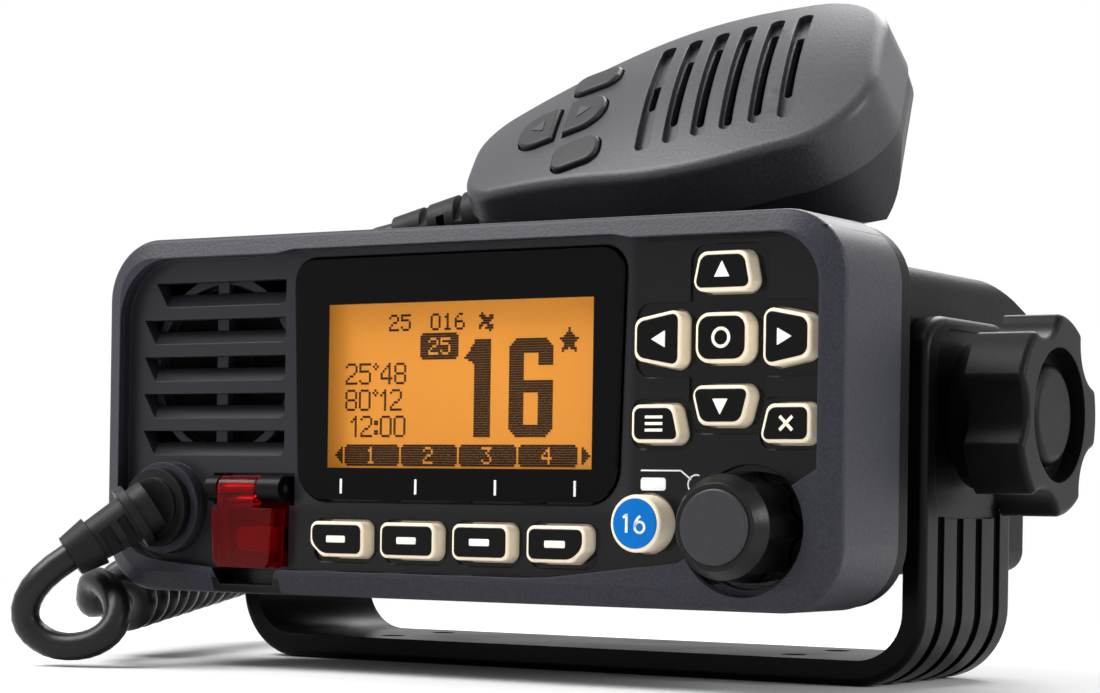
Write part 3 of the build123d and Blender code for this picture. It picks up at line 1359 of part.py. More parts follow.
# ------------------------------------------------------------------ curly cord
gland_tip = gland.origin + gland.z_dir * gland_length
relief_tip = relief_start - mic.x_dir * mic_relief_length
coil_start = Vector(*fixed(-81.4, 2.6, -36.0))
coil_second = Vector(*fixed(-102.5, 62.0, -31.0))
coil_run = (coil_second - coil_start).normalized()
coil_high = Vector(*fixed(-96.0, 104.0, 22.0))
coil_end = Vector(*fixed(-82.0, 84.0, 31.0))
tail_run = (coil_end - coil_high).normalized()
loop_points = [(-80.8, -21.0, -38.9), (-75.6, -19.0, -43.6), (-68.0, -16.5, -43.6),
               (-63.6, -13.5, -40.0), (-66.1, -10.5, -34.2), (-75.0, -7.5, -30.4)]
lead_points = [gland_tip, gland_tip + gland.z_dir * 7.5, *[Vector(*fixed(*p)) for p in loop_points],
               coil_start - coil_run * 7.5, coil_start]
coil_points = [coil_start, coil_second, Vector(*fixed(-110.0, 98.0, -27.0)),
               Vector(*fixed(-107.0, 116.0, 0.0)), coil_high, coil_end]
tail_points = [coil_end, coil_end + tail_run * 9.0, relief_tip - mic.x_dir * 9.0, relief_tip]
cord_runs = {"cord_lead": (lead_points, cord_radius), "cord_coil": (coil_points, coil_radius),
             "cord_tail": (tail_points, cord_radius)}
for cord_name, (points, tube_radius) in cord_runs.items():
    runs = [(b - a).length for a, b in zip(points, points[1:])]
    turns = [(b - a).get_angle(c - b) for a, b, c in zip(points, points[1:], points[2:])]
    bends = [0.45 * min(one, two) / sin(radians(turn) / 2) * cos(radians(turn) / 2)
             for one, two, turn in zip(runs, runs[1:], turns)]
    with BuildPart() as cord:
        with BuildLine() as cord_path:
            FilletPolyline(*points, radius=bends)
        with BuildSketch(Plane(origin=cord_path.line @ 0, z_dir=cord_path.line % 0)):
            Circle(tube_radius)
        sweep()
    cord.part.label = cord_name
    export_step(cord.part, f"parts/{cord_name}.step")
    run_length = sum(edge.length for edge in cord_path.line.edges())
    print(cord_name, "bends", [round(bend, 1) for bend in bends], "length", round(run_length, 1),
          "volume ratio", round(cord.part.volume / (pi * tube_radius ** 2 * run_length), 4))
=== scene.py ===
"""Looks of the fixed-mount marine radio with its cradle bracket, hand microphone and curly cord.

Lengths in the classes below are millimetres, places are either in the radio's own row frame or on
a work plane, and every mesh is turned into metres when its piece is finished.
"""

import json
import logging
import math
from dataclasses import dataclass, field
from enum import Enum

import bmesh
import bpy
from mathutils import Matrix, Vector

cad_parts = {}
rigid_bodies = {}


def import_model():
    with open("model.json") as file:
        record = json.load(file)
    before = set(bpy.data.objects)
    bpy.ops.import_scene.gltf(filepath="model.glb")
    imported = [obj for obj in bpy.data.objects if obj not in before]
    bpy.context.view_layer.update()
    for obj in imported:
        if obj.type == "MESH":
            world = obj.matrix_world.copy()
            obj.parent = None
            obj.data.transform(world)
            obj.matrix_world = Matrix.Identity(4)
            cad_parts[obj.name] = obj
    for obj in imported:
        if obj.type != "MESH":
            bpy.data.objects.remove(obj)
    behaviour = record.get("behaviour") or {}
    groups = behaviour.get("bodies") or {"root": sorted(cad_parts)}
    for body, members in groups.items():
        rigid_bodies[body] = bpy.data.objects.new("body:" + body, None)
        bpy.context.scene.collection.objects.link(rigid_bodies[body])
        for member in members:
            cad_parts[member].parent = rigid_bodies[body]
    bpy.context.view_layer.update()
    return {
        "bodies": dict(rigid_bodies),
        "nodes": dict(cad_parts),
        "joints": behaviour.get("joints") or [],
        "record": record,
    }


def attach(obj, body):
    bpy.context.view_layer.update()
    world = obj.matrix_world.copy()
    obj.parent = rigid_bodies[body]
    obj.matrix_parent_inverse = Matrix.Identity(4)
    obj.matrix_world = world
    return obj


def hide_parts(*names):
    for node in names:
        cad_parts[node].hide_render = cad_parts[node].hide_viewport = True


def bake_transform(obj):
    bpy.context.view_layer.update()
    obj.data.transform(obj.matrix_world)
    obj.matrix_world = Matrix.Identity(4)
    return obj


LOG = logging.getLogger("marine_radio")
MM = 0.001
FRONT_Y = -57.3
PANEL_Z = 47.3
CORNER_STEPS = 5
DISC_STEPS = 48
PATCH_RANGE = (0.3, 0.7)
GRAIN_RANGE = (0.35, 0.65)
COAT_ROUGHNESS = 0.12
WHITE = (1.0, 1.0, 1.0, 1.0)

Point = tuple[float, float, float]
Flat = tuple[float, float]
Colour = tuple[float, float, float, float]


def paint(red: float, green: float, blue: float) -> Colour:
    """Turns a screen colour into a linear one.

    Args:
        red: Red from 0 to 255.
        green: Green from 0 to 255.
        blue: Blue from 0 to 255.

    Returns:
        The linear colour with an alpha of one.
    """
    def linear(channel: float) -> float:
        """Linear value of one channel."""
        share = channel / 255.0
        return share / 12.92 if share <= 0.04045 else ((share + 0.055) / 1.055) ** 2.4
    return (linear(red), linear(green), linear(blue), 1.0)


def fixed(x: float, y: float, z: float) -> Point:
    """Row-frame point of a place given from the panel centre and its front plane."""
    return (x, FRONT_Y + y, PANEL_Z + z)


# ------------------------------------------------------------------ work planes
@dataclass(frozen=True)
class WorkPlane:
    """A plane that flat details are drawn on, in millimetres.

    Attributes:
        origin: Row-frame point of the plane's zero.
        across: Direction of the first coordinate.
        up: Direction of the second coordinate.
        out: Direction that a height is counted in.
    """

    origin: Point
    across: Point
    up: Point
    out: Point

    def matrix(self) -> Matrix:
        """Matrix from the plane's millimetres to the row frame's metres."""
        columns = [Vector(self.across).normalized(), Vector(self.up).normalized(),
                   Vector(self.out).normalized(), Vector(self.origin)]
        turn = Matrix([[column[row] for column in columns] for row in range(3)] + [[0, 0, 0, 1]])
        return Matrix.Scale(MM, 4) @ turn

    def point(self, u: float, v: float, height: float) -> Vector:
        """Row-frame point, in metres, of a place on the plane."""
        return self.matrix() @ Vector((u, v, height))


FRONT = WorkPlane(fixed(0, 0, 0), (1, 0, 0), (0, 0, 1), (0, -1, 0))
MIC = WorkPlane((7.5, 2.2, 110.95), (0.967, 0.190, 0.168), (-0.253686, 0.730502, 0.634042),
                (-0.002, -0.65588, 0.754862))


# ------------------------------------------------------------------ materials
class Shade:
    """Node tree of one material, with a short call for each node that the finishes use."""

    def __init__(self, name: str) -> None:
        """Starts the tree with a Principled surface.

        Args:
            name: Name of the material.
        """
        self.material = bpy.data.materials.new(name)
        self.material.use_nodes = True
        self.tree = self.material.node_tree
        self.tree.nodes.clear()
        self.surface = self.add("ShaderNodeBsdfPrincipled")
        output = self.add("ShaderNodeOutputMaterial")
        self.join(self.surface.outputs["BSDF"], output.inputs["Surface"])
        self.object_space = self.add("ShaderNodeTexCoord").outputs["Object"]

    def add(self, kind: str, **settings: object) -> bpy.types.Node:
        """Adds a node and sets its properties.

        Args:
            kind: Type of the node.
            **settings: Properties of the node by name.

        Returns:
            The node.
        """
        node = self.tree.nodes.new(kind)
        for key, value in settings.items():
            setattr(node, key, value)
        return node

    def join(self, start: bpy.types.NodeSocket, end: bpy.types.NodeSocket) -> None:
        """Links two sockets."""
        self.tree.links.new(start, end)

    def feed(self, socket: bpy.types.NodeSocket, value: object) -> None:
        """Links an input to another socket, or sets it to a constant.

        Args:
            socket: The input.
            value: Socket or constant that it gets.
        """
        if isinstance(value, bpy.types.NodeSocket):
            self.join(value, socket)
        else:
            socket.default_value = value

    def mapped(self, centre: Point = (0, 0, 0), scale: Point = (1, 1, 1)) -> bpy.types.NodeSocket:
        """Object coordinates moved to a centre and scaled.

        Args:
            centre: Point that becomes their zero, in millimetres.
            scale: Factor on each axis.

        Returns:
            The coordinates.
        """
        node = self.add("ShaderNodeMapping", vector_type="POINT")
        node.inputs["Location"].default_value = [-c * MM * s for c, s in zip(centre, scale)]
        node.inputs["Scale"].default_value = scale
        self.join(self.object_space, node.inputs["Vector"])
        return node.outputs["Vector"]

    def noise(self, size: float, detail: float) -> bpy.types.NodeSocket:
        """Noise on the object coordinates.

        Args:
            size: Size of its features in millimetres.
            detail: Number of finer layers on it.

        Returns:
            Its value.
        """
        node = self.add("ShaderNodeTexNoise")
        self.join(self.mapped(), node.inputs["Vector"])
        node.inputs["Scale"].default_value = 1.0 / (size * MM)
        node.inputs["Detail"].default_value = detail
        return node.outputs[0]

    def axes(self) -> tuple[bpy.types.NodeSocket, ...]:
        """Splits the object coordinates.

        Returns:
            The three coordinates, in millimetres.
        """
        scaled = self.mapped(scale=(1 / MM, 1 / MM, 1 / MM))
        node = self.add("ShaderNodeSeparateXYZ")
        self.join(scaled, node.inputs[0])
        return tuple(node.outputs)

    def math(self, operation: str, *values: object) -> bpy.types.NodeSocket:
        """Adds one step of arithmetic.

        Args:
            operation: Kind of the step.
            *values: Sockets or numbers that it works on.

        Returns:
            The result.
        """
        node = self.add("ShaderNodeMath", operation=operation)
        for socket, value in zip(node.inputs, values):
            self.feed(socket, value)
        return node.outputs[0]

    def ramp(self, value: object, low: float, high: float, to_low: float = 0.0,
             to_high: float = 1.0) -> bpy.types.NodeSocket:
        """Maps a value from one span to another, eased and held at the ends.

        Args:
            value: Socket or number to map.
            low: Value that becomes to_low.
            high: Value that becomes to_high.
            to_low: Result at low.
            to_high: Result at high.

        Returns:
            The mapped value.
        """
        node = self.add("ShaderNodeMapRange", interpolation_type="SMOOTHSTEP")
        node.clamp = True
        for name, part in zip(("Value", "From Min", "From Max", "To Min", "To Max"),
                              (value, low, high, to_low, to_high)):
            self.feed(node.inputs[name], part)
        return node.outputs["Result"]

    def span(self, value: bpy.types.NodeSocket, low: float, high: float, soft: float
             ) -> bpy.types.NodeSocket:
        """One between two values and zero outside them.

        Args:
            value: Socket to test.
            low: Lower value.
            high: Upper value.
            soft: Half the width over which each end changes.

        Returns:
            The share.
        """
        rising = self.ramp(value, low - soft, low + soft)
        falling = self.ramp(value, high - soft, high + soft, 1.0, 0.0)
        return self.math("MULTIPLY", rising, falling)

    def mix(self, share: object, first: object, second: object) -> bpy.types.NodeSocket:
        """Blends two colours.

        Args:
            share: Share of the second one.
            first: First colour.
            second: Second colour.

        Returns:
            The blend.
        """
        node = self.add("ShaderNodeMix", data_type="RGBA")
        self.feed(node.inputs[0], share)
        self.feed(node.inputs[6], first)
        self.feed(node.inputs[7], second)
        return node.outputs[2]

    def bump(self, height: bpy.types.NodeSocket, depth: float,
             under: bpy.types.NodeSocket | None = None) -> bpy.types.NodeSocket:
        """Turns a pattern into relief.

        Args:
            height: The pattern.
            depth: Depth of the relief in millimetres.
            under: Normal that it lies on, or none for the surface's own.

        Returns:
            The normal of the relief.
        """
        node = self.add("ShaderNodeBump")
        node.inputs["Strength"].default_value = 1.0
        node.inputs["Distance"].default_value = depth * MM
        self.join(height, node.inputs["Height"])
        if under is not None:
            self.join(under, node.inputs["Normal"])
        return node.outputs["Normal"]


def scaled(colour: Colour, share: float) -> Colour:
    """A colour made darker or lighter by a share."""
    return (colour[0] * share, colour[1] * share, colour[2] * share, 1.0)


@dataclass(frozen=True)
class Finish:
    """A moulded, painted or machined surface with fine grain and slow patches.

    Attributes:
        name: Name of the material.
        colour: Main colour.
        roughness: Mean roughness.
        specular: Level of the plain reflection.
        metallic: Share of metal.
        grain: Size of the grain in millimetres.
        relief: Depth of the grain in millimetres.
        speckle: How far the grain darkens and lightens the colour.
        patch: Size of the slow patches in millimetres.
        patch_shade: Colour share in the darkest patch.
        coat: Weight of a clear coat.
        edge: Radius in millimetres that edges look rounded by.
        wear: How far the roughness goes over the patches.
        fine: How far the roughness goes over the grain.
    """

    name: str
    colour: Colour
    roughness: float = 0.5
    specular: float = 0.35
    metallic: float = 0.0
    grain: float = 0.5
    relief: float = 0.03
    speckle: float = 0.12
    patch: float = 18.0
    patch_shade: float = 0.9
    coat: float = 0.0
    edge: float = 0.3
    wear: float = 0.12
    fine: float = 0.08

    def material(self) -> bpy.types.Material:
        """Makes the material once and returns it again afterwards."""
        found = bpy.data.materials.get(self.name)
        return found or self.build()

    def build(self) -> bpy.types.Material:
        """Builds the node tree.

        Returns:
            The new material.
        """
        shade = Shade(self.name)
        shade.feed(shade.surface.inputs["Base Color"], self.tint(shade))
        grain, patches = self.textures(shade)
        worn = shade.math("MULTIPLY_ADD", patches, self.wear, self.roughness - self.wear / 2)
        fine = shade.math("MULTIPLY_ADD", grain, self.fine, worn)
        shade.feed(shade.surface.inputs["Roughness"], fine)
        shade.feed(shade.surface.inputs["Normal"], shade.bump(grain, self.relief, self.eased(shade)))
        shade.surface.inputs["Metallic"].default_value = self.metallic
        shade.surface.inputs["Specular IOR Level"].default_value = self.specular
        shade.surface.inputs["Coat Weight"].default_value = self.coat
        shade.surface.inputs["Coat Roughness"].default_value = COAT_ROUGHNESS
        self.extra(shade)
        return shade.material

    def eased(self, shade: Shade) -> bpy.types.NodeSocket:
        """Rounds the edges in the shading, so that they catch the light.

        Args:
            shade: Tree to add to.

        Returns:
            The normal.
        """
        node = shade.add("ShaderNodeBevel", samples=4)
        node.inputs["Radius"].default_value = self.edge * MM
        return node.outputs["Normal"]

    def textures(self, shade: Shade) -> tuple[bpy.types.NodeSocket, bpy.types.NodeSocket]:
        """Grain and patch patterns of the surface."""
        return shade.noise(self.grain, 3.0), shade.noise(self.patch, 2.0)

    def tint(self, shade: Shade) -> bpy.types.NodeSocket:
        """Lays patches and speckle over the main colour.

        Args:
            shade: Tree to add to.

        Returns:
            The colour.
        """
        grain, patches = self.textures(shade)
        slow = shade.mix(shade.ramp(patches, *PATCH_RANGE),
                         scaled(self.colour, self.patch_shade), self.colour)
        dark = shade.ramp(grain, *GRAIN_RANGE, 1.0 - self.speckle, 1.0 + self.speckle)
        node = shade.add("ShaderNodeMix", data_type="RGBA", blend_type="MULTIPLY")
        node.inputs[0].default_value = 1.0
        shade.join(slow, node.inputs[6])
        shade.join(dark, node.inputs[7])
        return node.outputs[2]

    def extra(self, shade: Shade) -> None:
        """Adds what only one kind of finish has."""


@dataclass(frozen=True)
class PanelFinish(Finish):
    """The front moulding: grained frame, satin sunken face, and gloss pockets round the keys painted
    near black for the shade in them, as are the finger notch and the well.

    Attributes:
        face: Colour of the sunken face on the speaker side.
        face_dark: Colour of the sunken face beside and below the display.
        recess_shade: Painted shade: near-black colour of the pockets round the keys, the finger
            notch and the well.
        wear: How far the roughness goes over the patches.
        sunk_y: Depth at which the sunken face starts.
        pocket_y: Depth at which the pockets start.
        half_width: Half the width of the sunken face.
        low_z: Lower side of the sunken face.
        high_z: Upper side of the sunken face.
        display_left: Left side of the display.
        display_right: Right side of the display.
        display_low: Lower side of the display.
        notch_left: Left side of the finger notch and the well.
        notch_right: Right side of the finger notch and the well.
        notch_top: Upper side of the finger notch.
        well_y: Depth at which the well starts.
        well_deep: Depth of the well.
        well_top: Upper side of the well.
        soft: Half the width over which the zones change.
    """

    face: Colour = field(default_factory=lambda: paint(36, 36, 41))
    face_dark: Colour = field(default_factory=lambda: paint(11, 11, 13))
    # Painted shade: the pockets, the finger notch and the well are coloured near black for the shade
    # that falls in them.
    recess_shade: Colour = field(default_factory=lambda: paint(7, 7, 9))
    wear: float = 0.1
    sunk_y: float = FRONT_Y - 0.15
    pocket_y: float = FRONT_Y + 1.75
    half_width: float = 74.6
    low_z: float = PANEL_Z - 28.9
    high_z: float = PANEL_Z + 30.3
    display_left: float = -36.5
    display_right: float = 37.0
    display_low: float = PANEL_Z - 16.4
    notch_left: float = -51.6
    notch_right: float = -35.9
    notch_top: float = PANEL_Z - 27.9
    well_y: float = FRONT_Y + 3.2
    well_deep: float = 20.0
    well_top: float = PANEL_Z - 11.0
    soft: float = 0.1

    def zones(self, shade: Shade) -> tuple[bpy.types.NodeSocket, ...]:
        """Works out which zone a place belongs to.

        Args:
            shade: Tree to add to.

        Returns:
            Shares of the sunken face, of its dark part and of the pockets, the finger notch and the
            well, which get painted shade.
        """
        x, y, z = shade.axes()
        soft = self.soft
        inside = shade.math("MULTIPLY",
                            shade.span(x, -self.half_width, self.half_width, soft / 2),
                            shade.span(z, self.low_z, self.high_z, soft / 2))
        sunk = shade.math("MULTIPLY", inside, shade.ramp(y, self.sunk_y - soft, self.sunk_y + soft))
        beside = shade.ramp(x, self.display_right - 1.5, self.display_right + 1.5)
        below = shade.math("MULTIPLY", shade.ramp(x, self.display_left - 1, self.display_left + 5),
                           shade.ramp(z, self.display_low + 2, self.display_low - 2, 0.0, 1.0))
        dark = shade.math("MAXIMUM", beside, below)
        deep = shade.math("MULTIPLY", shade.ramp(y, self.pocket_y - soft, self.pocket_y + soft),
                          shade.ramp(x, self.display_left, self.display_left + 0.4))
        across = shade.span(x, self.notch_left, self.notch_right, soft)
        notch = shade.math("MULTIPLY", across,
                           shade.ramp(z, self.notch_top - 0.2, self.notch_top + 0.2, 1.0, 0.0))
        hollow = shade.math("MULTIPLY", notch, shade.ramp(y, self.sunk_y - 1.2, self.sunk_y - 0.9))
        well = shade.math("MULTIPLY", across,
                          shade.span(y, self.well_y, self.well_y + self.well_deep, soft))
        well = shade.math("MULTIPLY", well,
                          shade.ramp(z, self.well_top, self.well_top + 0.5, 1.0, 0.0))
        hollow = shade.math("MAXIMUM", hollow, shade.math("MULTIPLY", well, sunk))
        # Painted shade mask: the key pockets, the finger notch and the well.
        recess_shade = shade.math("MAXIMUM", shade.math("MULTIPLY", deep, sunk), hollow)
        return sunk, shade.math("MULTIPLY", dark, sunk), recess_shade

    def tint(self, shade: Shade) -> bpy.types.NodeSocket:
        """Lays the zones over the frame's colour, with painted shade in the pockets, the finger
        notch and the well.

        Args:
            shade: Tree to add to.

        Returns:
            The colour.
        """
        frame = Finish.tint(self, shade)
        sunk, dark, deep = self.zones(shade)
        faced = shade.mix(sunk, frame, self.face)
        # The pockets, the notch and the well get the painted shade colour.
        return shade.mix(deep, shade.mix(dark, faced, self.face_dark), self.recess_shade)

    def extra(self, shade: Shade) -> None:
        """Smooths the grain on the sunken face and glosses the pockets.

        Args:
            shade: Tree to add to.
        """
        sunk, dark, deep = self.zones(shade)
        grain, patches = self.textures(shade)
        coarse = shade.math("MULTIPLY", grain, shade.math("MULTIPLY_ADD", sunk, -0.85, 1.0))
        shade.feed(shade.surface.inputs["Normal"],
                   shade.bump(coarse, self.relief, self.eased(shade)))
        rough = shade.math("MULTIPLY_ADD", patches, self.wear, self.roughness - self.wear / 2)
        for zone, change in ((sunk, -0.10), (dark, -0.10), (deep, -0.18)):
            rough = shade.math("MULTIPLY_ADD", zone, change, rough)
        shade.feed(shade.surface.inputs["Roughness"], rough)


@dataclass(frozen=True)
class WindowFinish(Finish):
    """Gloss window, clear over the display cell and printed black round it.

    Attributes:
        left: Left side of the clear part.
        right: Right side of the clear part.
        low: Lower side of the clear part.
        high: Upper side of the clear part.
        print_y: Depth of the printed face: all behind it is clear.
        clear: Alpha of the clear part.
        margin: How far behind the print the clear part reaches past its sides.
    """

    left: float = -26.2
    right: float = 30.1
    low: float = PANEL_Z - 9.8
    high: float = PANEL_Z + 19.8
    print_y: float = FRONT_Y + 0.9
    clear: float = 0.05
    margin: float = 4.0

    def extra(self, shade: Shade) -> None:
        """Opens the clear part.

        Args:
            shade: Tree to add to.
        """
        x, y, z = shade.axes()
        opening = shade.math("MULTIPLY", shade.span(x, self.left, self.right, 0.06),
                             shade.span(z, self.low, self.high, 0.06))
        more = self.margin
        inside = shade.math("MULTIPLY", shade.span(x, self.left - more, self.right + more, 0.1),
                            shade.span(z, self.low - more, self.high + more, 0.1))
        behind = shade.math("MULTIPLY", inside,
                            shade.ramp(y, self.print_y - 0.05, self.print_y + 0.05))
        opening = shade.math("MAXIMUM", opening, behind)
        shade.feed(shade.surface.inputs["Alpha"], shade.ramp(opening, 0.0, 1.0, 1.0, self.clear))


@dataclass(frozen=True)
class LitFinish(Finish):
    """A backlit amber cell with a faint net of picture elements.

    Attributes:
        pitch: Spacing of the picture elements in millimetres.
        glow: Strength of the light that the cell gives.
        middle: Height of the brightest row in millimetres.
    """

    pitch: float = 0.434
    glow: float = 0.52
    middle: float = PANEL_Z + 8.0

    def extra(self, shade: Shade) -> None:
        """Adds the backlight and the net.

        Args:
            shade: Tree to add to.
        """
        x, _, z = shade.axes()
        nets = []
        for axis in (x, z):
            step = shade.math("FRACT", shade.math("DIVIDE", axis, self.pitch))
            nets.append(shade.span(step, 0.12, 0.88, 0.1))
        net = shade.ramp(shade.math("MULTIPLY", *nets), 0.0, 1.0, 0.93, 1.0)
        away = shade.math("ABSOLUTE", shade.math("SUBTRACT", z, self.middle))
        fall = shade.ramp(away, 0.0, 22.0, 1.04, 0.92)
        amount = shade.math("MULTIPLY", net, fall)
        node = shade.add("ShaderNodeMix", data_type="RGBA", blend_type="MULTIPLY")
        node.inputs[0].default_value = 1.0
        node.inputs[6].default_value = self.colour
        shade.join(amount, node.inputs[7])
        shade.join(node.outputs[2], shade.surface.inputs["Emission Color"])
        shade.surface.inputs["Emission Strength"].default_value = self.glow


@dataclass(frozen=True)
class ClearFinish(Finish):
    """Coloured clear plastic.

    Attributes:
        transmission: Share of light that passes.
        index: Refractive index.
    """

    transmission: float = 0.55
    index: float = 1.2

    def extra(self, shade: Shade) -> None:
        """Lets light through."""
        shade.surface.inputs["Transmission Weight"].default_value = self.transmission
        shade.surface.inputs["IOR"].default_value = self.index


@dataclass(frozen=True)
class PaintedGlowFinish(Finish):
    """Rubber or ink with a painted glow: a faint light of its own colour makes it brighter, with no
    lamp behind it.

    Attributes:
        glow: Strength of the painted glow.
    """

    glow: float = 0.12

    def extra(self, shade: Shade) -> None:
        """Adds the painted glow."""
        # Painted glow: the surface gives light of its own colour, though nothing lights it from
        # behind.
        shade.surface.inputs["Emission Color"].default_value = self.colour
        shade.surface.inputs["Emission Strength"].default_value = self.glow


@dataclass(frozen=True)
class SpunFinish(Finish):
    """A disc finished on a lathe, with fine rings about its centre.

    Attributes:
        centre: Centre of the rings in the row frame.
        ring: Spacing of the rings in millimetres.
        ring_depth: Depth of the rings in millimetres.
    """

    centre: Point = (0.0, 0.0, 0.0)
    ring: float = 0.22
    ring_depth: float = 0.008

    def extra(self, shade: Shade) -> None:
        """Turns the rings into a relief.

        Args:
            shade: Tree to add to.
        """
        space = shade.mapped(centre=self.centre)
        flat = shade.add("ShaderNodeVectorMath", operation="MULTIPLY")
        shade.join(space, flat.inputs[0])
        flat.inputs[1].default_value = (1.0, 0.0, 1.0)
        length = shade.add("ShaderNodeVectorMath", operation="LENGTH")
        shade.join(flat.outputs[0], length.inputs[0])
        turns = shade.math("MULTIPLY", length.outputs["Value"], 2 * math.pi / (self.ring * MM))
        rings = shade.math("MULTIPLY_ADD", shade.math("SINE", turns), 0.5, 0.5)
        shade.feed(shade.surface.inputs["Normal"], shade.bump(rings, self.ring_depth))


class Finishes:
    """Every finish of the radio, by name."""

    panel = PanelFinish("panel_grained", paint(46, 46, 55), 0.42, 0.2, grain=0.55, relief=0.06,
                        speckle=0.18, patch=30.0, patch_shade=0.86)
    window = WindowFinish("window_glass", paint(5, 5, 7), 0.05, 0.08, grain=1.4, relief=0.001,
                          speckle=0.02)
    amber = LitFinish("display_amber", paint(205, 132, 48), 0.55, 0.2, grain=0.6, relief=0.002,
                      speckle=0.02, patch=20.0, patch_shade=0.95)
    segment = Finish("display_segment", paint(58, 34, 14), 0.6, 0.2, grain=0.6, relief=0.002,
                     speckle=0.05)
    # The cream keys, the key signs, the ticks and the dial marks carry a painted glow.
    key_cream = PaintedGlowFinish("key_cream", paint(246, 232, 206), 0.38, 0.42, grain=0.35,
                           relief=0.012, speckle=0.03, patch=5.0, patch_shade=0.93, glow=0.16)
    key_black = Finish("key_face_black", paint(7, 7, 9), 0.3, 0.1, grain=0.3, relief=0.01,
                       speckle=0.15)
    key_blue = Finish("key_face_blue", paint(0, 112, 198), 0.36, 0.1, grain=0.4, relief=0.008,
                      speckle=0.04, patch=6.0, patch_shade=0.93)
    ink_cream = PaintedGlowFinish("ink_cream", paint(250, 244, 228), 0.5, 0.3, grain=0.3, relief=0.004,
                           speckle=0.04, glow=0.2)
    ink_white = PaintedGlowFinish("ink_white", paint(240, 242, 246), 0.5, 0.3, grain=0.3, relief=0.003,
                           speckle=0.05, glow=0.16)
    dial_black = Finish("dial_black", paint(9, 9, 11), 0.26, 0.22, grain=0.4, relief=0.015,
                        speckle=0.12)
    dial_disc = SpunFinish("dial_disc", paint(46, 46, 50), 0.4, 0.3, grain=0.4, relief=0.01,
                           centre=fixed(60.2, 0, -19.2))
    clear_red = ClearFinish("clear_red", paint(222, 6, 18), 0.05, 0.1, grain=3.0, relief=0.006,
                            speckle=0.02, patch=8.0, transmission=0.94)
    button_red = Finish("button_lacquer", paint(96, 5, 11), 0.3, 0.4, grain=0.5, relief=0.01,
                        speckle=0.05)
    black_satin = Finish("black_satin", paint(6, 6, 8), 0.32, 0.1, grain=0.45, relief=0.012,
                         speckle=0.12, patch=14.0, patch_shade=0.85)
    black_moulded = Finish("black_moulded", paint(7, 7, 9), 0.38, 0.12, grain=0.5, relief=0.03,
                           speckle=0.16, patch=16.0, patch_shade=0.88)
    rubber = Finish("black_rubber", paint(11, 11, 13), 0.46, 0.2, grain=0.4, relief=0.03,
                    speckle=0.14, patch=8.0)
    cast_metal = Finish("cast_painted", paint(9, 9, 11), 0.45, 0.1, grain=0.7, relief=0.05,
                        speckle=0.14, patch=24.0, patch_shade=0.85)
    steel = Finish("zinc_steel", paint(150, 150, 154), 0.3, 0.5, metallic=1.0, grain=0.3,
                   relief=0.01, speckle=0.08, patch=4.0)
    brass = Finish("nickel_brass", paint(176, 170, 152), 0.26, 0.5, metallic=1.0, grain=0.3,
                   relief=0.01, speckle=0.06, patch=4.0)
    board = Finish("circuit_green", paint(22, 74, 44), 0.4, 0.4, grain=1.6, relief=0.03,
                   speckle=0.25, patch=6.0, patch_shade=0.8, coat=0.4)
    inner = Finish("inner_moulding", paint(34, 34, 38), 0.55, 0.25, grain=0.6, relief=0.02)
    basket = Finish("speaker_basket", paint(13, 13, 14), 0.5, 0.2, grain=0.5, relief=0.02)
    cone = Finish("speaker_paper", paint(9, 9, 10), 0.85, 0.12, grain=0.5, relief=0.06,
                  speckle=0.25, patch=5.0)
    mic_grey = Finish("mic_grained", paint(50, 50, 57), 0.38, 0.42, grain=0.5, relief=0.05,
                      speckle=0.18, patch=26.0, patch_shade=0.86)
    mic_dark = Finish("mic_rear_grained", paint(30, 30, 35), 0.44, 0.3, grain=0.5, relief=0.05,
                      speckle=0.16, patch=20.0, patch_shade=0.85)
    mic_key = Finish("mic_key_rubber", paint(26, 26, 30), 0.4, 0.3, grain=0.4, relief=0.02,
                     speckle=0.12, patch=7.0)
    mic_symbol = Finish("mic_symbol", paint(52, 52, 56), 0.45, 0.4, grain=0.4, relief=0.01)
    cord = Finish("cord_sheath", paint(11, 11, 13), 0.28, 0.28, grain=0.6, relief=0.012,
                  speckle=0.08, patch=9.0, patch_shade=0.9)


# ------------------------------------------------------------------ flat pieces
def lift(bm: bmesh.types.BMesh, faces: list[bmesh.types.BMFace], rise: float) -> None:
    """Extrudes flat faces upwards.

    Args:
        bm: Mesh that holds the faces.
        faces: The faces.
        rise: How far their copies go up.
    """
    made = bmesh.ops.extrude_face_region(bm, geom=faces)["geom"]
    tops = [item for item in made if isinstance(item, bmesh.types.BMVert)]
    bmesh.ops.translate(bm, verts=tops, vec=(0, 0, rise))


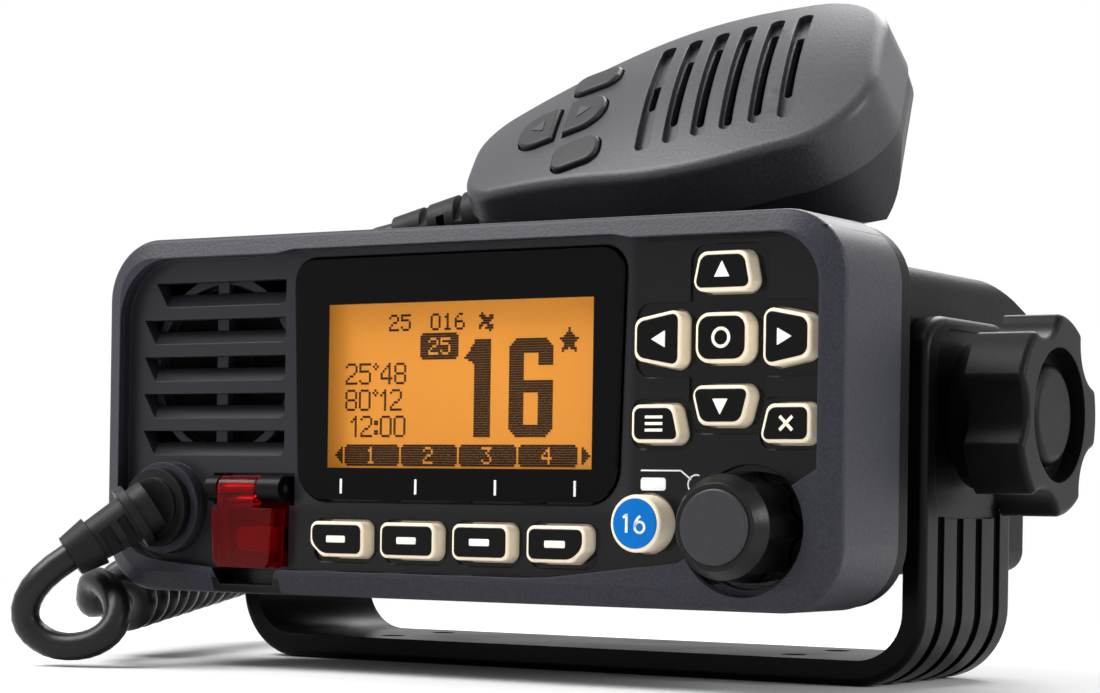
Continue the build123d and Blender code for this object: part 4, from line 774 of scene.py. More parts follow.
class Piece:
    """A mesh in progress, drawn on a work plane in millimetres."""

    def __init__(self, name: str, plane: WorkPlane) -> None:
        """Starts an empty piece.

        Args:
            name: Name of the piece.
            plane: Plane that it is drawn on.
        """
        self.name = name
        self.plane = plane
        self.mesh = bmesh.new()

    def raise_face(self, bm: bmesh.types.BMesh, face: bmesh.types.BMFace, low: float, high: float,
                   edge: float) -> None:
        """Raises a flat face to a slab, eases its upper rim and adds it to the piece.

        Args:
            bm: Mesh that holds the face alone.
            face: The face.
            low: Height of its foot.
            high: Height of its top.
            edge: Radius of the eased upper rim.
        """
        bmesh.ops.translate(bm, verts=bm.verts, vec=(0, 0, low))
        lift(bm, [face], high - low)
        if edge > 0:
            rim = [e for e in bm.edges if all(v.co.z > high - 1e-6 for v in e.verts)]
            bmesh.ops.bevel(bm, geom=rim, offset=edge, offset_type="OFFSET", segments=3,
                            profile=0.5, affect="EDGES", clamp_overlap=True, material=-1)
        self.take(bm)

    def take(self, bm: bmesh.types.BMesh) -> None:
        """Adds a finished shape to the piece.

        Args:
            bm: Mesh that holds the shape alone, which is freed.
        """
        bmesh.ops.recalc_face_normals(bm, faces=bm.faces)
        passing = bpy.data.meshes.new("shape")
        bm.to_mesh(passing)
        bm.free()
        self.mesh.from_mesh(passing)
        bpy.data.meshes.remove(passing)

    def slab(self, outline: list[Flat], low: float, high: float, corner: float = 0.0,
             inset: float = 0.0, edge: float = 0.0) -> None:
        """Adds a raised plate with rounded corners.

        Args:
            outline: Its corner points.
            low: Height of its foot.
            high: Height of its top.
            corner: Radius of its corners.
            inset: How far it stays inside the outline.
            edge: Radius of the eased upper rim.
        """
        bm = bmesh.new()
        face = bm.faces.new([bm.verts.new((u, v, 0)) for u, v in outline])
        if inset > 0:
            face.normal_update()
            ring = bmesh.ops.inset_individual(bm, faces=[face], thickness=inset,
                                              use_even_offset=True)["faces"]
            bmesh.ops.delete(bm, geom=ring, context="FACES")
        if corner > 0:
            bmesh.ops.bevel(bm, geom=bm.verts[:], offset=corner, offset_type="OFFSET",
                            segments=CORNER_STEPS, profile=0.5, affect="VERTICES",
                            clamp_overlap=True, material=-1)
        bm.faces.ensure_lookup_table()
        self.raise_face(bm, bm.faces[0], low, high, edge)

    def disc(self, centre: Flat, radius: float, low: float, high: float,
             edge: float = 0.0) -> None:
        """Adds a raised round plate.

        Args:
            centre: Its centre.
            radius: Its radius.
            low: Height of its foot.
            high: Height of its top.
            edge: Radius of the eased upper rim.
        """
        bm = bmesh.new()
        bmesh.ops.create_circle(bm, cap_ends=True, segments=DISC_STEPS, radius=radius,
                                matrix=Matrix.Translation((*centre, 0)))
        bm.faces.ensure_lookup_table()
        self.raise_face(bm, bm.faces[0], low, high, edge)

    def bar(self, start: Flat, end: Flat, width: float, low: float, high: float) -> None:
        """Adds a straight raised line with square ends.

        Args:
            start: Middle of one end.
            end: Middle of the other end.
            width: Width of the line.
            low: Height of its foot.
            high: Height of its top.
        """
        along = (Vector(end) - Vector(start)).normalized()
        side = Vector((-along.y, along.x)) * width / 2
        points = [Vector(start) + side, Vector(end) + side, Vector(end) - side,
                  Vector(start) - side]
        self.slab([(p.x, p.y) for p in points], low, high)

    def arc(self, centre: Flat, radius: float, width: float, start: float, sweep: float,
            low: float, high: float, steps: int = 24) -> None:
        """Adds a raised arc.

        A full ring keeps the section faces that the spin leaves inside it, all but the first.

        Args:
            centre: Centre of the arc.
            radius: Radius of its middle line.
            width: Width of the line.
            start: Angle of its start in degrees.
            sweep: Angle that it runs through in degrees.
            low: Height of its foot.
            high: Height of its top.
            steps: Number of steps.
        """
        bm = bmesh.new()
        section = [(radius - width / 2, low), (radius + width / 2, low),
                   (radius + width / 2, high), (radius - width / 2, high)]
        face = bm.faces.new([bm.verts.new((r, 0, h)) for r, h in section])
        full = abs(sweep) >= 360
        bmesh.ops.spin(bm, geom=[face, *face.edges[:], *face.verts[:]], cent=(0, 0, 0),
                       axis=(0, 0, 1), angle=math.radians(sweep), steps=steps, use_merge=full)
        if full:
            inner = [f for f in bm.faces if len(f.verts) == 4 and all(
                abs(v.co.y) < 1e-6 and v.co.x > 0 for v in f.verts)]
            bmesh.ops.delete(bm, geom=inner, context="FACES_ONLY")
        bmesh.ops.rotate(bm, verts=bm.verts, cent=(0, 0, 0),
                         matrix=Matrix.Rotation(math.radians(start), 3, "Z"))
        bmesh.ops.translate(bm, verts=bm.verts, vec=(*centre, 0))
        self.take(bm)

    def finish(self, finish: Finish, body: str, slot: str) -> None:
        """Puts the mesh in its place and makes the piece ride.

        Args:
            finish: Finish of the piece.
            body: CAD body that it rides on.
            slot: Material slot of the record that it follows; not used.
        """
        bmesh.ops.transform(self.mesh, matrix=self.plane.matrix(), verts=self.mesh.verts)
        for face in self.mesh.faces:
            face.smooth = False
        data = bpy.data.meshes.new(self.name)
        self.mesh.to_mesh(data)
        self.mesh.free()
        piece = bpy.data.objects.new(self.name, data)
        bpy.context.scene.collection.objects.link(piece)
        piece.data.materials.append(finish.material())
        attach(piece, body)
        LOG.info("piece %s with %d faces on %s", self.name, len(data.polygons), body)


# Dot patterns of the numerals, top row first, five dots wide.
NUMERALS = {
    "0": "01110 10001 10001 10001 10001 10001 01110",
    "1": "00100 01100 00100 00100 00100 00100 01110",
    "2": "01110 10001 00001 00110 01000 10000 11111",
    "3": "11111 00010 00100 00010 00001 10001 01110",
    "4": "00010 00110 01010 10010 11111 00010 00010",
    "5": "11111 10000 11110 00001 00001 10001 01110",
    "6": "00110 01000 10000 11110 10001 10001 01110",
}

# Taller dot patterns, for the three lines beside the large numerals and the pictogram over them.
TALL_NUMERALS = {
    "0": "011110 100001 100001 100001 100001 100001 100001 100001 011110",
    "1": "0010 0110 1010 0010 0010 0010 0010 0010 0010",
    "2": "011110 100001 000001 000001 000010 001100 010000 100000 111111",
    "4": "000010 000110 001010 010010 100010 100010 111111 000010 000010",
    "5": "111111 100000 100000 111110 000001 000001 000001 100001 011110",
    "8": "011110 100001 100001 100001 011110 100001 100001 100001 011110",
    ":": "00 00 11 11 00 00 11 11 00",
    "o": "010 101 010 000 000 000 000 000 000",
    "x": "01000000 11100110 01111110 00111100 01111000 11001110 10011110 00000100",
}


# ------------------------------------------------------------------ display
@dataclass
class Display:
    """Picture on the amber cell, in picture elements counted from its lower left corner.

    Attributes:
        left: Left side of the picture in millimetres.
        low: Lower side of the picture in millimetres.
        pitch: Spacing of the picture elements in millimetres.
        dot: Side of a picture element in millimetres.
        foot: Height of their foot over the panel's front plane in millimetres.
        top: Height of their top over the panel's front plane in millimetres.
        columns: Number of columns.
        rows: Number of rows.
        tab_height: Height of the four lower tabs.
        tab_width: Width of the four lower tabs.
        tab_left: Column where the first of them starts.
        tall: Height of the large numerals.
        lines: Texts in plain numerals, with the column and row where each starts.
        tall_lines: Texts in tall numerals, with the column and row where each starts.
    """

    left: float = -27.0
    low: float = -9.4
    pitch: float = 0.434
    dot: float = 0.39
    foot: float = -3.4
    top: float = -3.3
    columns: int = 130
    rows: int = 66
    tab_height: int = 9
    tab_width: int = 28
    tab_left: int = 6
    tall: int = 40
    lines: tuple[tuple[str, int, int], ...] = (("25", 28, 56), ("016", 49, 56))
    tall_lines: tuple[tuple[str, int, int], ...] = (
        ("x", 73, 55), ("25o48", 6, 34), ("80o12", 6, 23), ("12:00", 9, 12))

    def picture(self) -> set[tuple[int, int]]:
        """Works out which picture elements are dark.

        Returns:
            Column and row of each dark one.
        """
        dark: set[tuple[int, int]] = set()
        for line in self.lines:
            self.write(dark, *line)
        for line in self.tall_lines:
            self.write(dark, *line, TALL_NUMERALS)
        self.tab(dark, 44, 44, 19, 11, "25")
        self.big_one(dark, 66, 12)
        self.big_six(dark, 88, 12)
        self.star(dark, 116, 50)
        for number, label in enumerate(("1", "2", "3", "4")):
            self.tab(dark, self.tab_left + number * (self.tab_width + 1), 0, self.tab_width,
                     self.tab_height, label)
        for step in range(4):
            for row in range(4 - step, 5 + step):
                dark.add((step + 1, row))
                dark.add((self.columns - 4 - step, row))
        return dark

    def write(self, dark: set[tuple[int, int]], text: str, column: int, row: int,
              patterns: dict[str, str] = NUMERALS) -> None:
        """Adds a line of numerals.

        Args:
            dark: Picture elements to add to.
            text: The numerals.
            column: Column of its lower left corner.
            row: Row of its lower left corner.
            patterns: Dot patterns to write with.
        """
        for sign in text:
            pattern = patterns[sign].split()
            for down, line in enumerate(pattern):
                for right, on in enumerate(line):
                    if on == "1":
                        dark.add((column + right, row + len(pattern) - 1 - down))
            column += len(pattern[0]) + 1

    def tab(self, dark: set[tuple[int, int]], column: int, row: int, width: int, height: int,
            text: str) -> None:
        """Adds a dark tab with light numerals in it.

        Args:
            dark: Picture elements to add to.
            column: Column of its lower left corner.
            row: Row of its lower left corner.
            width: Its width.
            height: Its height.
            text: The numerals.
        """
        light: set[tuple[int, int]] = set()
        self.write(light, text, column + (width - 6 * len(text) + 1) // 2, row + (height - 7) // 2)
        for across in range(width):
            for up in range(height):
                corner = across in (0, width - 1) and up in (0, height - 1)
                if (column + across, row + up) not in light and not corner:
                    dark.add((column + across, row + up))

    def big_one(self, dark: set[tuple[int, int]], column: int, row: int) -> None:
        """Adds the large numeral one.

        Args:
            dark: Picture elements to add to.
            column: Column of its lower left corner.
            row: Row of its lower left corner.
        """
        for up in range(self.tall):
            for across in range(14):
                stem = 5 <= across < 13
                flag = up >= 29 and across < 5 and across >= max((up - 32) * 0.7, (32 - up) * 1.6)
                if stem or flag:
                    dark.add((column + across, row + up))

    def big_six(self, dark: set[tuple[int, int]], column: int, row: int) -> None:
        """Adds the large numeral six.

        Args:
            dark: Picture elements to add to.
            column: Column of its lower left corner.
            row: Row of its lower left corner.
        """
        for up in range(self.tall):
            for across in range(21):
                side = min(across, 20 - across)
                end = min(up, self.tall - 1 - up)
                outer = side + end >= 3
                hole = 7 <= across < 14 and 5 <= up < 18
                gap = 7 <= across < 14 and 23 <= up < 34
                open_side = across >= 14 and 23 <= up < 29
                if outer and not hole and not gap and not open_side:
                    dark.add((column + across, row + up))

    def star(self, dark: set[tuple[int, int]], column: int, row: int) -> None:
        """Adds a five-pointed star.

        Args:
            dark: Picture elements to add to.
            column: Column of its centre.
            row: Row of its centre.
        """
        tip, notch, turn = 5.8, 2.6, math.pi / 5
        for up in range(-5, 7):
            for across in range(-6, 7):
                fold = abs((math.atan2(across, up) + turn) % (2 * turn) - turn)
                reach = tip * notch * math.sin(turn) / (
                    notch * math.sin(turn) * math.cos(fold)
                    + (tip - notch * math.cos(turn)) * math.sin(fold))
                if math.hypot(across, up) <= reach:
                    dark.add((column + across, row + up))

    def build(self) -> None:
        """Builds the dark picture elements as one piece."""
        piece = Piece("display_picture", FRONT)
        bm = piece.mesh
        half = self.dot / 2
        for column, row in sorted(self.picture()):
            if 0 <= column < self.columns and 0 <= row < self.rows:
                centre = (self.left + (column + 0.5) * self.pitch,
                          self.low + (row + 0.5) * self.pitch)
                square = [(-half, -half), (half, -half), (half, half), (-half, half)]
                bm.faces.new([bm.verts.new((centre[0] + u, centre[1] + v, self.foot))
                              for u, v in square])
        lift(bm, bm.faces[:], self.top - self.foot)
        bmesh.ops.recalc_face_normals(bm, faces=bm.faces)
        piece.finish(Finishes.segment, "radio", "lcd_amber")


# ------------------------------------------------------------------ keys
class Symbol(Enum):
    """Sign on a key's face."""

    UP = "up"
    DOWN = "down"
    LEFT = "left"
    RIGHT = "right"
    RING = "ring"
    BARS = "bars"
    CROSS = "cross"
    DASH = "dash"


@dataclass
class PanelKey:
    """Black printed face and cream sign of one panel key.

    Attributes:
        name: Name of its CAD node and body.
        outline: Corner points of the rubber key.
        corner: Radius of the key's corners.
        symbol: Sign on its face.
        place: Centre of the sign.
        rim: Width of the cream rim left round the face.
        top: Height of the key's top over the panel's front plane.
    """

    name: str
    outline: list[Flat]
    corner: float
    symbol: Symbol
    place: Flat
    rim: float = 0.62
    top: float = 1.0

    def build(self) -> None:
        """Builds the face and the sign."""
        face = Piece(f"{self.name}_face", FRONT)
        face.slab(self.outline, self.top - 0.1, self.top + 0.16, corner=max(self.corner - 0.5, 0.6),
                  inset=self.rim, edge=0.1)
        face.finish(Finishes.key_black, self.name, "key_rubber")
        sign = Piece(f"{self.name}_sign", FRONT)
        self.draw(sign, self.top + 0.08, self.top + 0.24)
        sign.finish(Finishes.ink_cream, self.name, "key_rubber")

    def draw(self, sign: Piece, low: float, high: float) -> None:
        """Draws the sign.

        Args:
            sign: Piece to draw on.
            low: Height of its foot.
            high: Height of its top.
        """
        u, v = self.place
        half, tall = 1.45, 1.35
        bar_reach, cross_reach, dash_reach, dash_half = 1.7, 1.15, 2.1, 0.62
        pointers = {Symbol.UP: [(-half, -tall), (half, -tall), (0, tall)],
                    Symbol.DOWN: [(-half, tall), (0, -tall), (half, tall)],
                    Symbol.LEFT: [(tall, -half), (tall, half), (-tall, 0)],
                    Symbol.RIGHT: [(-tall, -half), (tall, 0), (-tall, half)]}
        if self.symbol in pointers:
            sign.slab([(u + a, v + b) for a, b in pointers[self.symbol]], low, high, corner=0.15)
        elif self.symbol is Symbol.RING:
            sign.arc(self.place, 1.5, 0.55, 0, 360, low, high, steps=40)
        elif self.symbol is Symbol.BARS:
            for step in (-1.1, 0.0, 1.1):
                sign.bar((u - bar_reach, v + step), (u + bar_reach, v + step), 0.5, low, high)
        elif self.symbol is Symbol.CROSS:
            for way in (-1, 1):
                sign.bar((u - cross_reach, v - cross_reach * way),
                         (u + cross_reach, v + cross_reach * way), 0.55, low, high)
        else:
            sign.slab([(u + a * dash_reach, v + b * dash_half)
                       for a, b in ((-1, -1), (1, -1), (1, 1), (-1, 1))], low, high, corner=0.25)


@dataclass
class Keypad:
    """All keys of the front panel.

    Attributes:
        soft_left: Middle of the first key under the display.
        soft_pitch: Spacing of the four keys under the display.
        soft_z: Height of their middle.
        soft_half: Half their width.
        soft_high: Half their height.
        soft_cut: How far the outer lower corners of the row are cut, from each key's middle.
        round_centre: Middle of the round key.
        round_radius: Radius of its blue face.
        round_top: Height of its top over the panel's front plane.
    """

    soft_left: float = -22.8
    soft_pitch: float = 15.6
    soft_z: float = -22.75
    soft_half: float = 6.0
    soft_high: float = 3.2
    soft_cut: Flat = (3.4, 0.9)
    round_centre: Flat = (41.0, -18.9)
    round_radius: float = 4.25
    round_top: float = 3.0

    def keys(self) -> list[PanelKey]:
        """Lists the eleven keys with corners.

        Returns:
            The keys.
        """
        keys = [
            PanelKey("key_channel_up", [(51.4, 26.6), (50.0, 19.9), (61.8, 19.9), (60.4, 26.6)], 1.8,
                     Symbol.UP, (55.9, 23.6)),
            PanelKey("key_channel_down", [(50.0, 4.3), (51.8, -2.4), (60.0, -2.4), (61.8, 4.3)], 1.8,
                     Symbol.DOWN, (55.9, 0.7)),
            PanelKey("key_left", [(39.1, 15.6), (39.1, 8.7), (48.2, 7.0), (48.2, 17.3)], 1.8,
                     Symbol.LEFT, (43.9, 12.15)),
            PanelKey("key_right", [(63.6, 17.3), (63.6, 7.0), (72.4, 8.7), (72.4, 15.6)], 1.8,
                     Symbol.RIGHT, (67.7, 12.15)),
            PanelKey("key_enter", [(50.9, 16.4), (50.9, 8.0), (60.9, 8.0), (60.9, 16.4)], 2.5,
                     Symbol.RING, (55.9, 12.2)),
            PanelKey("key_menu", [(38.8, 1.2), (38.8, -5.3), (48.6, -5.3), (47.0, 1.2)], 1.6,
                     Symbol.BARS, (43.3, -2.05)),
            PanelKey("key_clear", [(64.6, 1.2), (63.0, -5.3), (72.6, -5.3), (72.6, 1.2)], 1.6,
                     Symbol.CROSS, (68.2, -2.05)),
        ]
        half, high = self.soft_half, self.soft_high
        cut_u, cut_v = self.soft_cut
        for number in range(4):
            middle = self.soft_left + number * self.soft_pitch
            left = [(-half, -cut_v), (-cut_u, -high)] if number == 0 else [(-half, -high)]
            right = [(cut_u, -high), (half, -cut_v)] if number == 3 else [(half, -high)]
            box = [(-half, high), *left, *right, (half, high)]
            keys.append(PanelKey(f"soft_key_{number + 1}",
                                 [(middle + a, self.soft_z + b) for a, b in box], 1.6, Symbol.DASH,
                                 (middle, self.soft_z), rim=0.6))
        return keys

    def build(self) -> None:
        """Builds every key's face and sign."""
        for key in self.keys():
            key.build()
        disc = Piece("key_sixteen_face", FRONT)
        disc.disc(self.round_centre, self.round_radius, self.round_top - 0.1, self.round_top + 0.12,
                  edge=0.08)
        disc.finish(Finishes.key_blue, "key_sixteen", "key_blue")
        self.sixteen()

    def sixteen(self) -> None:
        """Builds the plain number on the round key."""
        sign = Piece("key_sixteen_sign", FRONT)
        low, high = self.round_top + 0.06, self.round_top + 0.2
        u, v = self.round_centre
        sign.bar((u - 1.55, v - 1.6), (u - 1.55, v + 1.6), 0.5, low, high)
        sign.bar((u - 1.5, v + 1.5), (u - 2.25, v + 0.95), 0.45, low, high)
        sign.arc((u + 1.0, v - 0.62), 0.92, 0.46, 0, 360, low, high, steps=28)
        sign.arc((u + 2.3, v - 0.62), 2.22, 0.46, 122, 58, low, high, steps=12)
        sign.finish(Finishes.ink_white, "key_sixteen", "key_blue")


# ------------------------------------------------------------------ panel print
@dataclass
class PanelPrint:
    """White printed marks: ticks under the display, and the leader and plate beside the dial.

    Attributes:
        tick_places: Where the ticks stand across the panel.
        tick_top: Upper end of the ticks.
        tick_foot: Lower end of the ticks.
        tick_width: Width of the ticks.
        leader: Ends of the two straight lines beside the dial.
        leader_width: Width of the lines beside the dial.
        plate: Corners of the plate beside the dial.
        window_top: Height of the window's face over the panel's front plane.
        face_top: Height of the sunken face over the panel's front plane.
        sink: How far the ink reaches into what it is printed on.
        ink: Thickness of the ink.
    """

    tick_places: tuple[float, ...] = (-23.1, -6.6, 10.4, 26.8)
    tick_top: float = -11.8
    tick_foot: float = -14.5
    tick_width: float = 0.5
    leader: tuple[tuple[Flat, Flat], ...] = (((39.4, -9.9), (47.2, -9.9)),
                                             ((47.1, -9.85), (49.2, -11.4)))
    leader_width: float = 0.28
    plate: tuple[Flat, ...] = ((39.4, -11.1), (39.4, -13.3), (44.3, -13.3), (44.3, -11.1))
    window_top: float = -0.6
    face_top: float = -1.5
    sink: float = 0.05
    ink: float = 0.03

    def build(self) -> None:
        """Builds the ticks and the dial marks."""
        ticks = Piece("display_ticks", FRONT)
        for place in self.tick_places:
            ticks.bar((place, self.tick_foot), (place, self.tick_top), self.tick_width,
                      self.window_top - self.sink, self.window_top + self.ink)
        ticks.finish(Finishes.ink_white, "radio", "panel_plastic")
        marks = Piece("dial_marks", FRONT)
        low, high = self.face_top - self.sink, self.face_top + self.ink
        for start, end in self.leader:
            marks.bar(start, end, self.leader_width, low, high)
        marks.arc((50.2, -12.2), 1.6, self.leader_width, 70, 150, low, high, steps=16)
        marks.slab(list(self.plate), low, high, corner=0.5)
        marks.finish(Finishes.ink_white, "radio", "panel_plastic")


# ------------------------------------------------------------------ microphone
@dataclass
class Microphone:
    """Raised marks of the hand microphone's keys, which follow the crown of its face.

    Attributes:
        crest: Highest point of the face over the work plane.
        crown_u: Place of that point along the centre line.
        crown_radius: Radius of the crown along the centre line.
        key_rise: How far the keys stand out of the face.
        pair_u: Middle of the pair of arrow keys.
        arrow_reach: Distance of each arrow from that middle.
        arrow_tip: How far an arrow's tip is from its centre.
        arrow_tail: How far an arrow's back is from its centre.
        arrow_half: Half the width of an arrow's back.
    """

    crest: float = 1.6
    crown_u: float = 18.0
    crown_radius: float = 230.0
    key_rise: float = 1.1
    pair_u: float = -20.0
    arrow_reach: float = 5.2
    arrow_tip: float = 1.6
    arrow_tail: float = 1.4
    arrow_half: float = 2.0

    def plane(self, u: float) -> WorkPlane:
        """Finds the plane that touches the keys' crowned top.

        Args:
            u: Place on the centre line where it touches.

        Returns:
            The plane.
        """
        rise = (self.crown_u - u) / self.crown_radius
        height = self.crest + self.key_rise - (u - self.crown_u) ** 2 / (2 * self.crown_radius)
        across, out = Vector(MIC.across), Vector(MIC.out)
        return WorkPlane(tuple(MIC.point(u, 0, height) / MM), tuple(across + out * rise), MIC.up,
                         tuple(out - across * rise))

    def build(self) -> None:
        """Builds the two moulded triangles."""
        for way, name in ((-1, "mic_key_down"), (1, "mic_key_up")):
            sign = Piece(f"{name}_sign", self.plane(self.pair_u + way * self.arrow_reach))
            points = [(way * self.arrow_tip, 0.0), (-way * self.arrow_tail, self.arrow_half),
                      (-way * self.arrow_tail, -self.arrow_half)]
            sign.slab(points, -0.1, 0.12, corner=0.3, edge=0.08)
            sign.finish(Finishes.mic_symbol, name, "mic_dark")


# ------------------------------------------------------------------ curly cord
@dataclass
class CurlyCord:
    """The microphone's curly cord, from the panel gland to the microphone's strain relief.

    Attributes:
        diameter: Thickness of the cord.
        turn_radius: Radius of the turns' middle line.
        turn_pitch: Length of the axis that one turn takes.
        points_per_turn: Control points in each turn.
        ease_turns: Turns at each end over which the coil opens from its axis.
        ease_stretch: How many times longer than the rest the outermost of those turns are drawn.
        gland_start: Where the gland leaves the panel, from the panel centre.
        gland_way: Direction of the gland.
        gland_length: Length of the gland.
        lead: Points of the lead and its loop, from the panel centre.
        lead_run: Straight length at each end of the lead.
        coil: Points of the coil's axis, from the panel centre.
        relief_end: End of the microphone's strain relief on its work plane.
        tail_run: Straight length at each end of the tail.
        length: Length of the cord in metres; not used.
        step: Least distance of two points of the measured path.
        slack_low: Point in metres up to which the cord would follow the radio; not used.
        slack_high: Point in metres from which the cord would follow the microphone; not used.
    """

    diameter: float = 5.3
    turn_radius: float = 4.75
    turn_pitch: float = 5.7
    points_per_turn: int = 14
    ease_turns: float = 1.0
    ease_stretch: float = 3.5
    gland_start: Point = (-63.4, -5.6, -17.6)
    gland_way: Point = (-0.578, -0.602, -0.548)
    gland_length: float = 17.0
    lead: tuple[Point, ...] = ((-80.8, -21.0, -38.9), (-75.6, -19.0, -43.6), (-68.0, -16.5, -43.6),
                               (-63.6, -13.5, -40.0), (-66.1, -10.5, -34.2), (-75.0, -7.5, -30.4))
    lead_run: float = 7.5
    coil: tuple[Point, ...] = ((-81.4, 2.6, -36.0), (-102.5, 62.0, -31.0), (-110.0, 98.0, -27.0),
                               (-107.0, 116.0, 0.0), (-96.0, 104.0, 22.0), (-82.0, 84.0, 31.0))
    relief_end: Flat = (-62.7, -18.5)
    tail_run: float = 9.0
    length: float = 0.96
    step: float = 0.3
    slack_low: Point = (0.0, -0.030, 0.010)
    slack_high: Point = (0.0, 0.020, 0.070)

    def spline(self, name: str, points: list[Vector], thick: float = 0.0) -> bpy.types.Mesh:
        """Makes a smooth spline through the route and returns its mesh.

        Args:
            name: Name of the mesh.
            points: Control points in metres.
            thick: Radius of the tube, or zero for the centreline alone.

        Returns:
            The mesh of the line or of the tube.
        """
        curve = bpy.data.curves.new(name, "CURVE")
        curve.dimensions = "3D"
        curve.resolution_u = 4
        line = curve.splines.new("NURBS")
        line.points.add(len(points) - 1)
        for slot, point in zip(line.points, points):
            slot.co = (*point, 1.0)
        line.order_u = 3
        line.use_endpoint_u = True
        if thick:
            curve.bevel_depth = thick
            curve.bevel_resolution = 4
            curve.use_fill_caps = True
        holder = bpy.data.objects.new(name, curve)
        bpy.context.scene.collection.objects.link(holder)
        bpy.context.view_layer.update()
        mesh = bpy.data.meshes.new_from_object(holder)
        bpy.data.objects.remove(holder)
        bpy.data.curves.remove(curve)
        return mesh

    def place(self, point: Point) -> Vector:
        """Turns a place given from the panel centre into a row-frame point in metres."""
        return Vector(fixed(*point)) * MM

    def ends(self) -> tuple[list[Vector], list[Vector], list[Vector]]:
        """Places the route's three parts.

        Returns:
            Control points of the lead, the coil's axis and the tail, in metres.
        """
        way = Vector(self.gland_way).normalized() * MM
        tip = self.place(self.gland_start) + way * self.gland_length
        coil = [self.place(point) for point in self.coil]
        first = (coil[1] - coil[0]).normalized() * MM
        last = (coil[-1] - coil[-2]).normalized() * MM
        lead = [tip, tip + way * self.lead_run, *[self.place(point) for point in self.lead],
                coil[0] - first * self.lead_run]
        tip_u, tip_height = self.relief_end
        tail = [coil[-1] + last * self.tail_run, MIC.point(tip_u - self.tail_run, 0, tip_height),
                MIC.point(tip_u, 0, tip_height)]
        return lead, coil, tail

    def helix(self, axis: list[Vector]) -> list[Vector]:
        """Control points of the turns about an axis.

        Args:
            axis: Points read along the axis, in metres.

        Returns:
            The control points.
        """
        lengths = [0.0]
        for one, two in zip(axis, axis[1:]):
            lengths.append(lengths[-1] + (two - one).length)
        spare = self.ease_turns * (self.ease_stretch - 1)
        turns = round(lengths[-1] / (self.turn_pitch * MM) - spare)
        count = turns * self.points_per_turn
        opened = [min(1.0, min(step, count - step) / (self.points_per_turn * self.ease_turns))
                  for step in range(count + 1)]
        reaches = [0.0]
        for share in opened[1:]:
            reaches.append(reaches[-1] + 1 + (self.ease_stretch - 1) * (1 - share))
        tangent = (axis[1] - axis[0]).normalized()
        side = tangent.cross(Vector((0, 0, 1))).normalized()
        points, index = [], 0
        for step, share in enumerate(opened):
            reach = lengths[-1] * reaches[step] / reaches[-1]
            while index < len(axis) - 2 and lengths[index + 1] < reach:
                index += 1
            part = (reach - lengths[index]) / (lengths[index + 1] - lengths[index])
            centre = axis[index].lerp(axis[index + 1], part)
            tangent = (axis[index + 1] - axis[index]).normalized()
            side = (side - tangent * side.dot(tangent)).normalized()
            radius = self.turn_radius * MM * math.sin(share * math.pi / 2)
            angle = 2 * math.pi * step / self.points_per_turn + math.pi / 2
            points.append(centre + side * radius * math.cos(angle)
                          + tangent.cross(side) * radius * math.sin(angle))
        return points

    def build(self) -> None:
        """Builds the whole cord."""
        lead, coil, tail = self.ends()
        axis_mesh = self.spline("coil_axis", coil)
        axis = [vertex.co.copy() for vertex in axis_mesh.vertices]
        bpy.data.meshes.remove(axis_mesh)
        points = [*lead, *self.helix(axis), *tail]
        line = self.spline("cord_line", points)
        path = [points[0]]
        for vertex in line.vertices:
            if (vertex.co - path[-1]).length > self.step * MM:
                path.append(vertex.co.copy())
        bpy.data.meshes.remove(line)
        measured = sum((two - one).length for one, two in zip(path, path[1:]))
        LOG.info("cord measures %.3f m", measured)
        mesh = self.spline("curly_cord", points, self.diameter * MM / 2)
        for face in mesh.polygons:
            face.use_smooth = True
        mesh.name = "curly_cord"
        cord = bpy.data.objects.new("curly_cord", mesh)
        bpy.context.scene.collection.objects.link(cord)
        mesh.materials.clear()
        mesh.materials.append(Finishes.cord.material())
        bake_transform(cord)
        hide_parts("cord_lead", "cord_coil", "cord_tail")


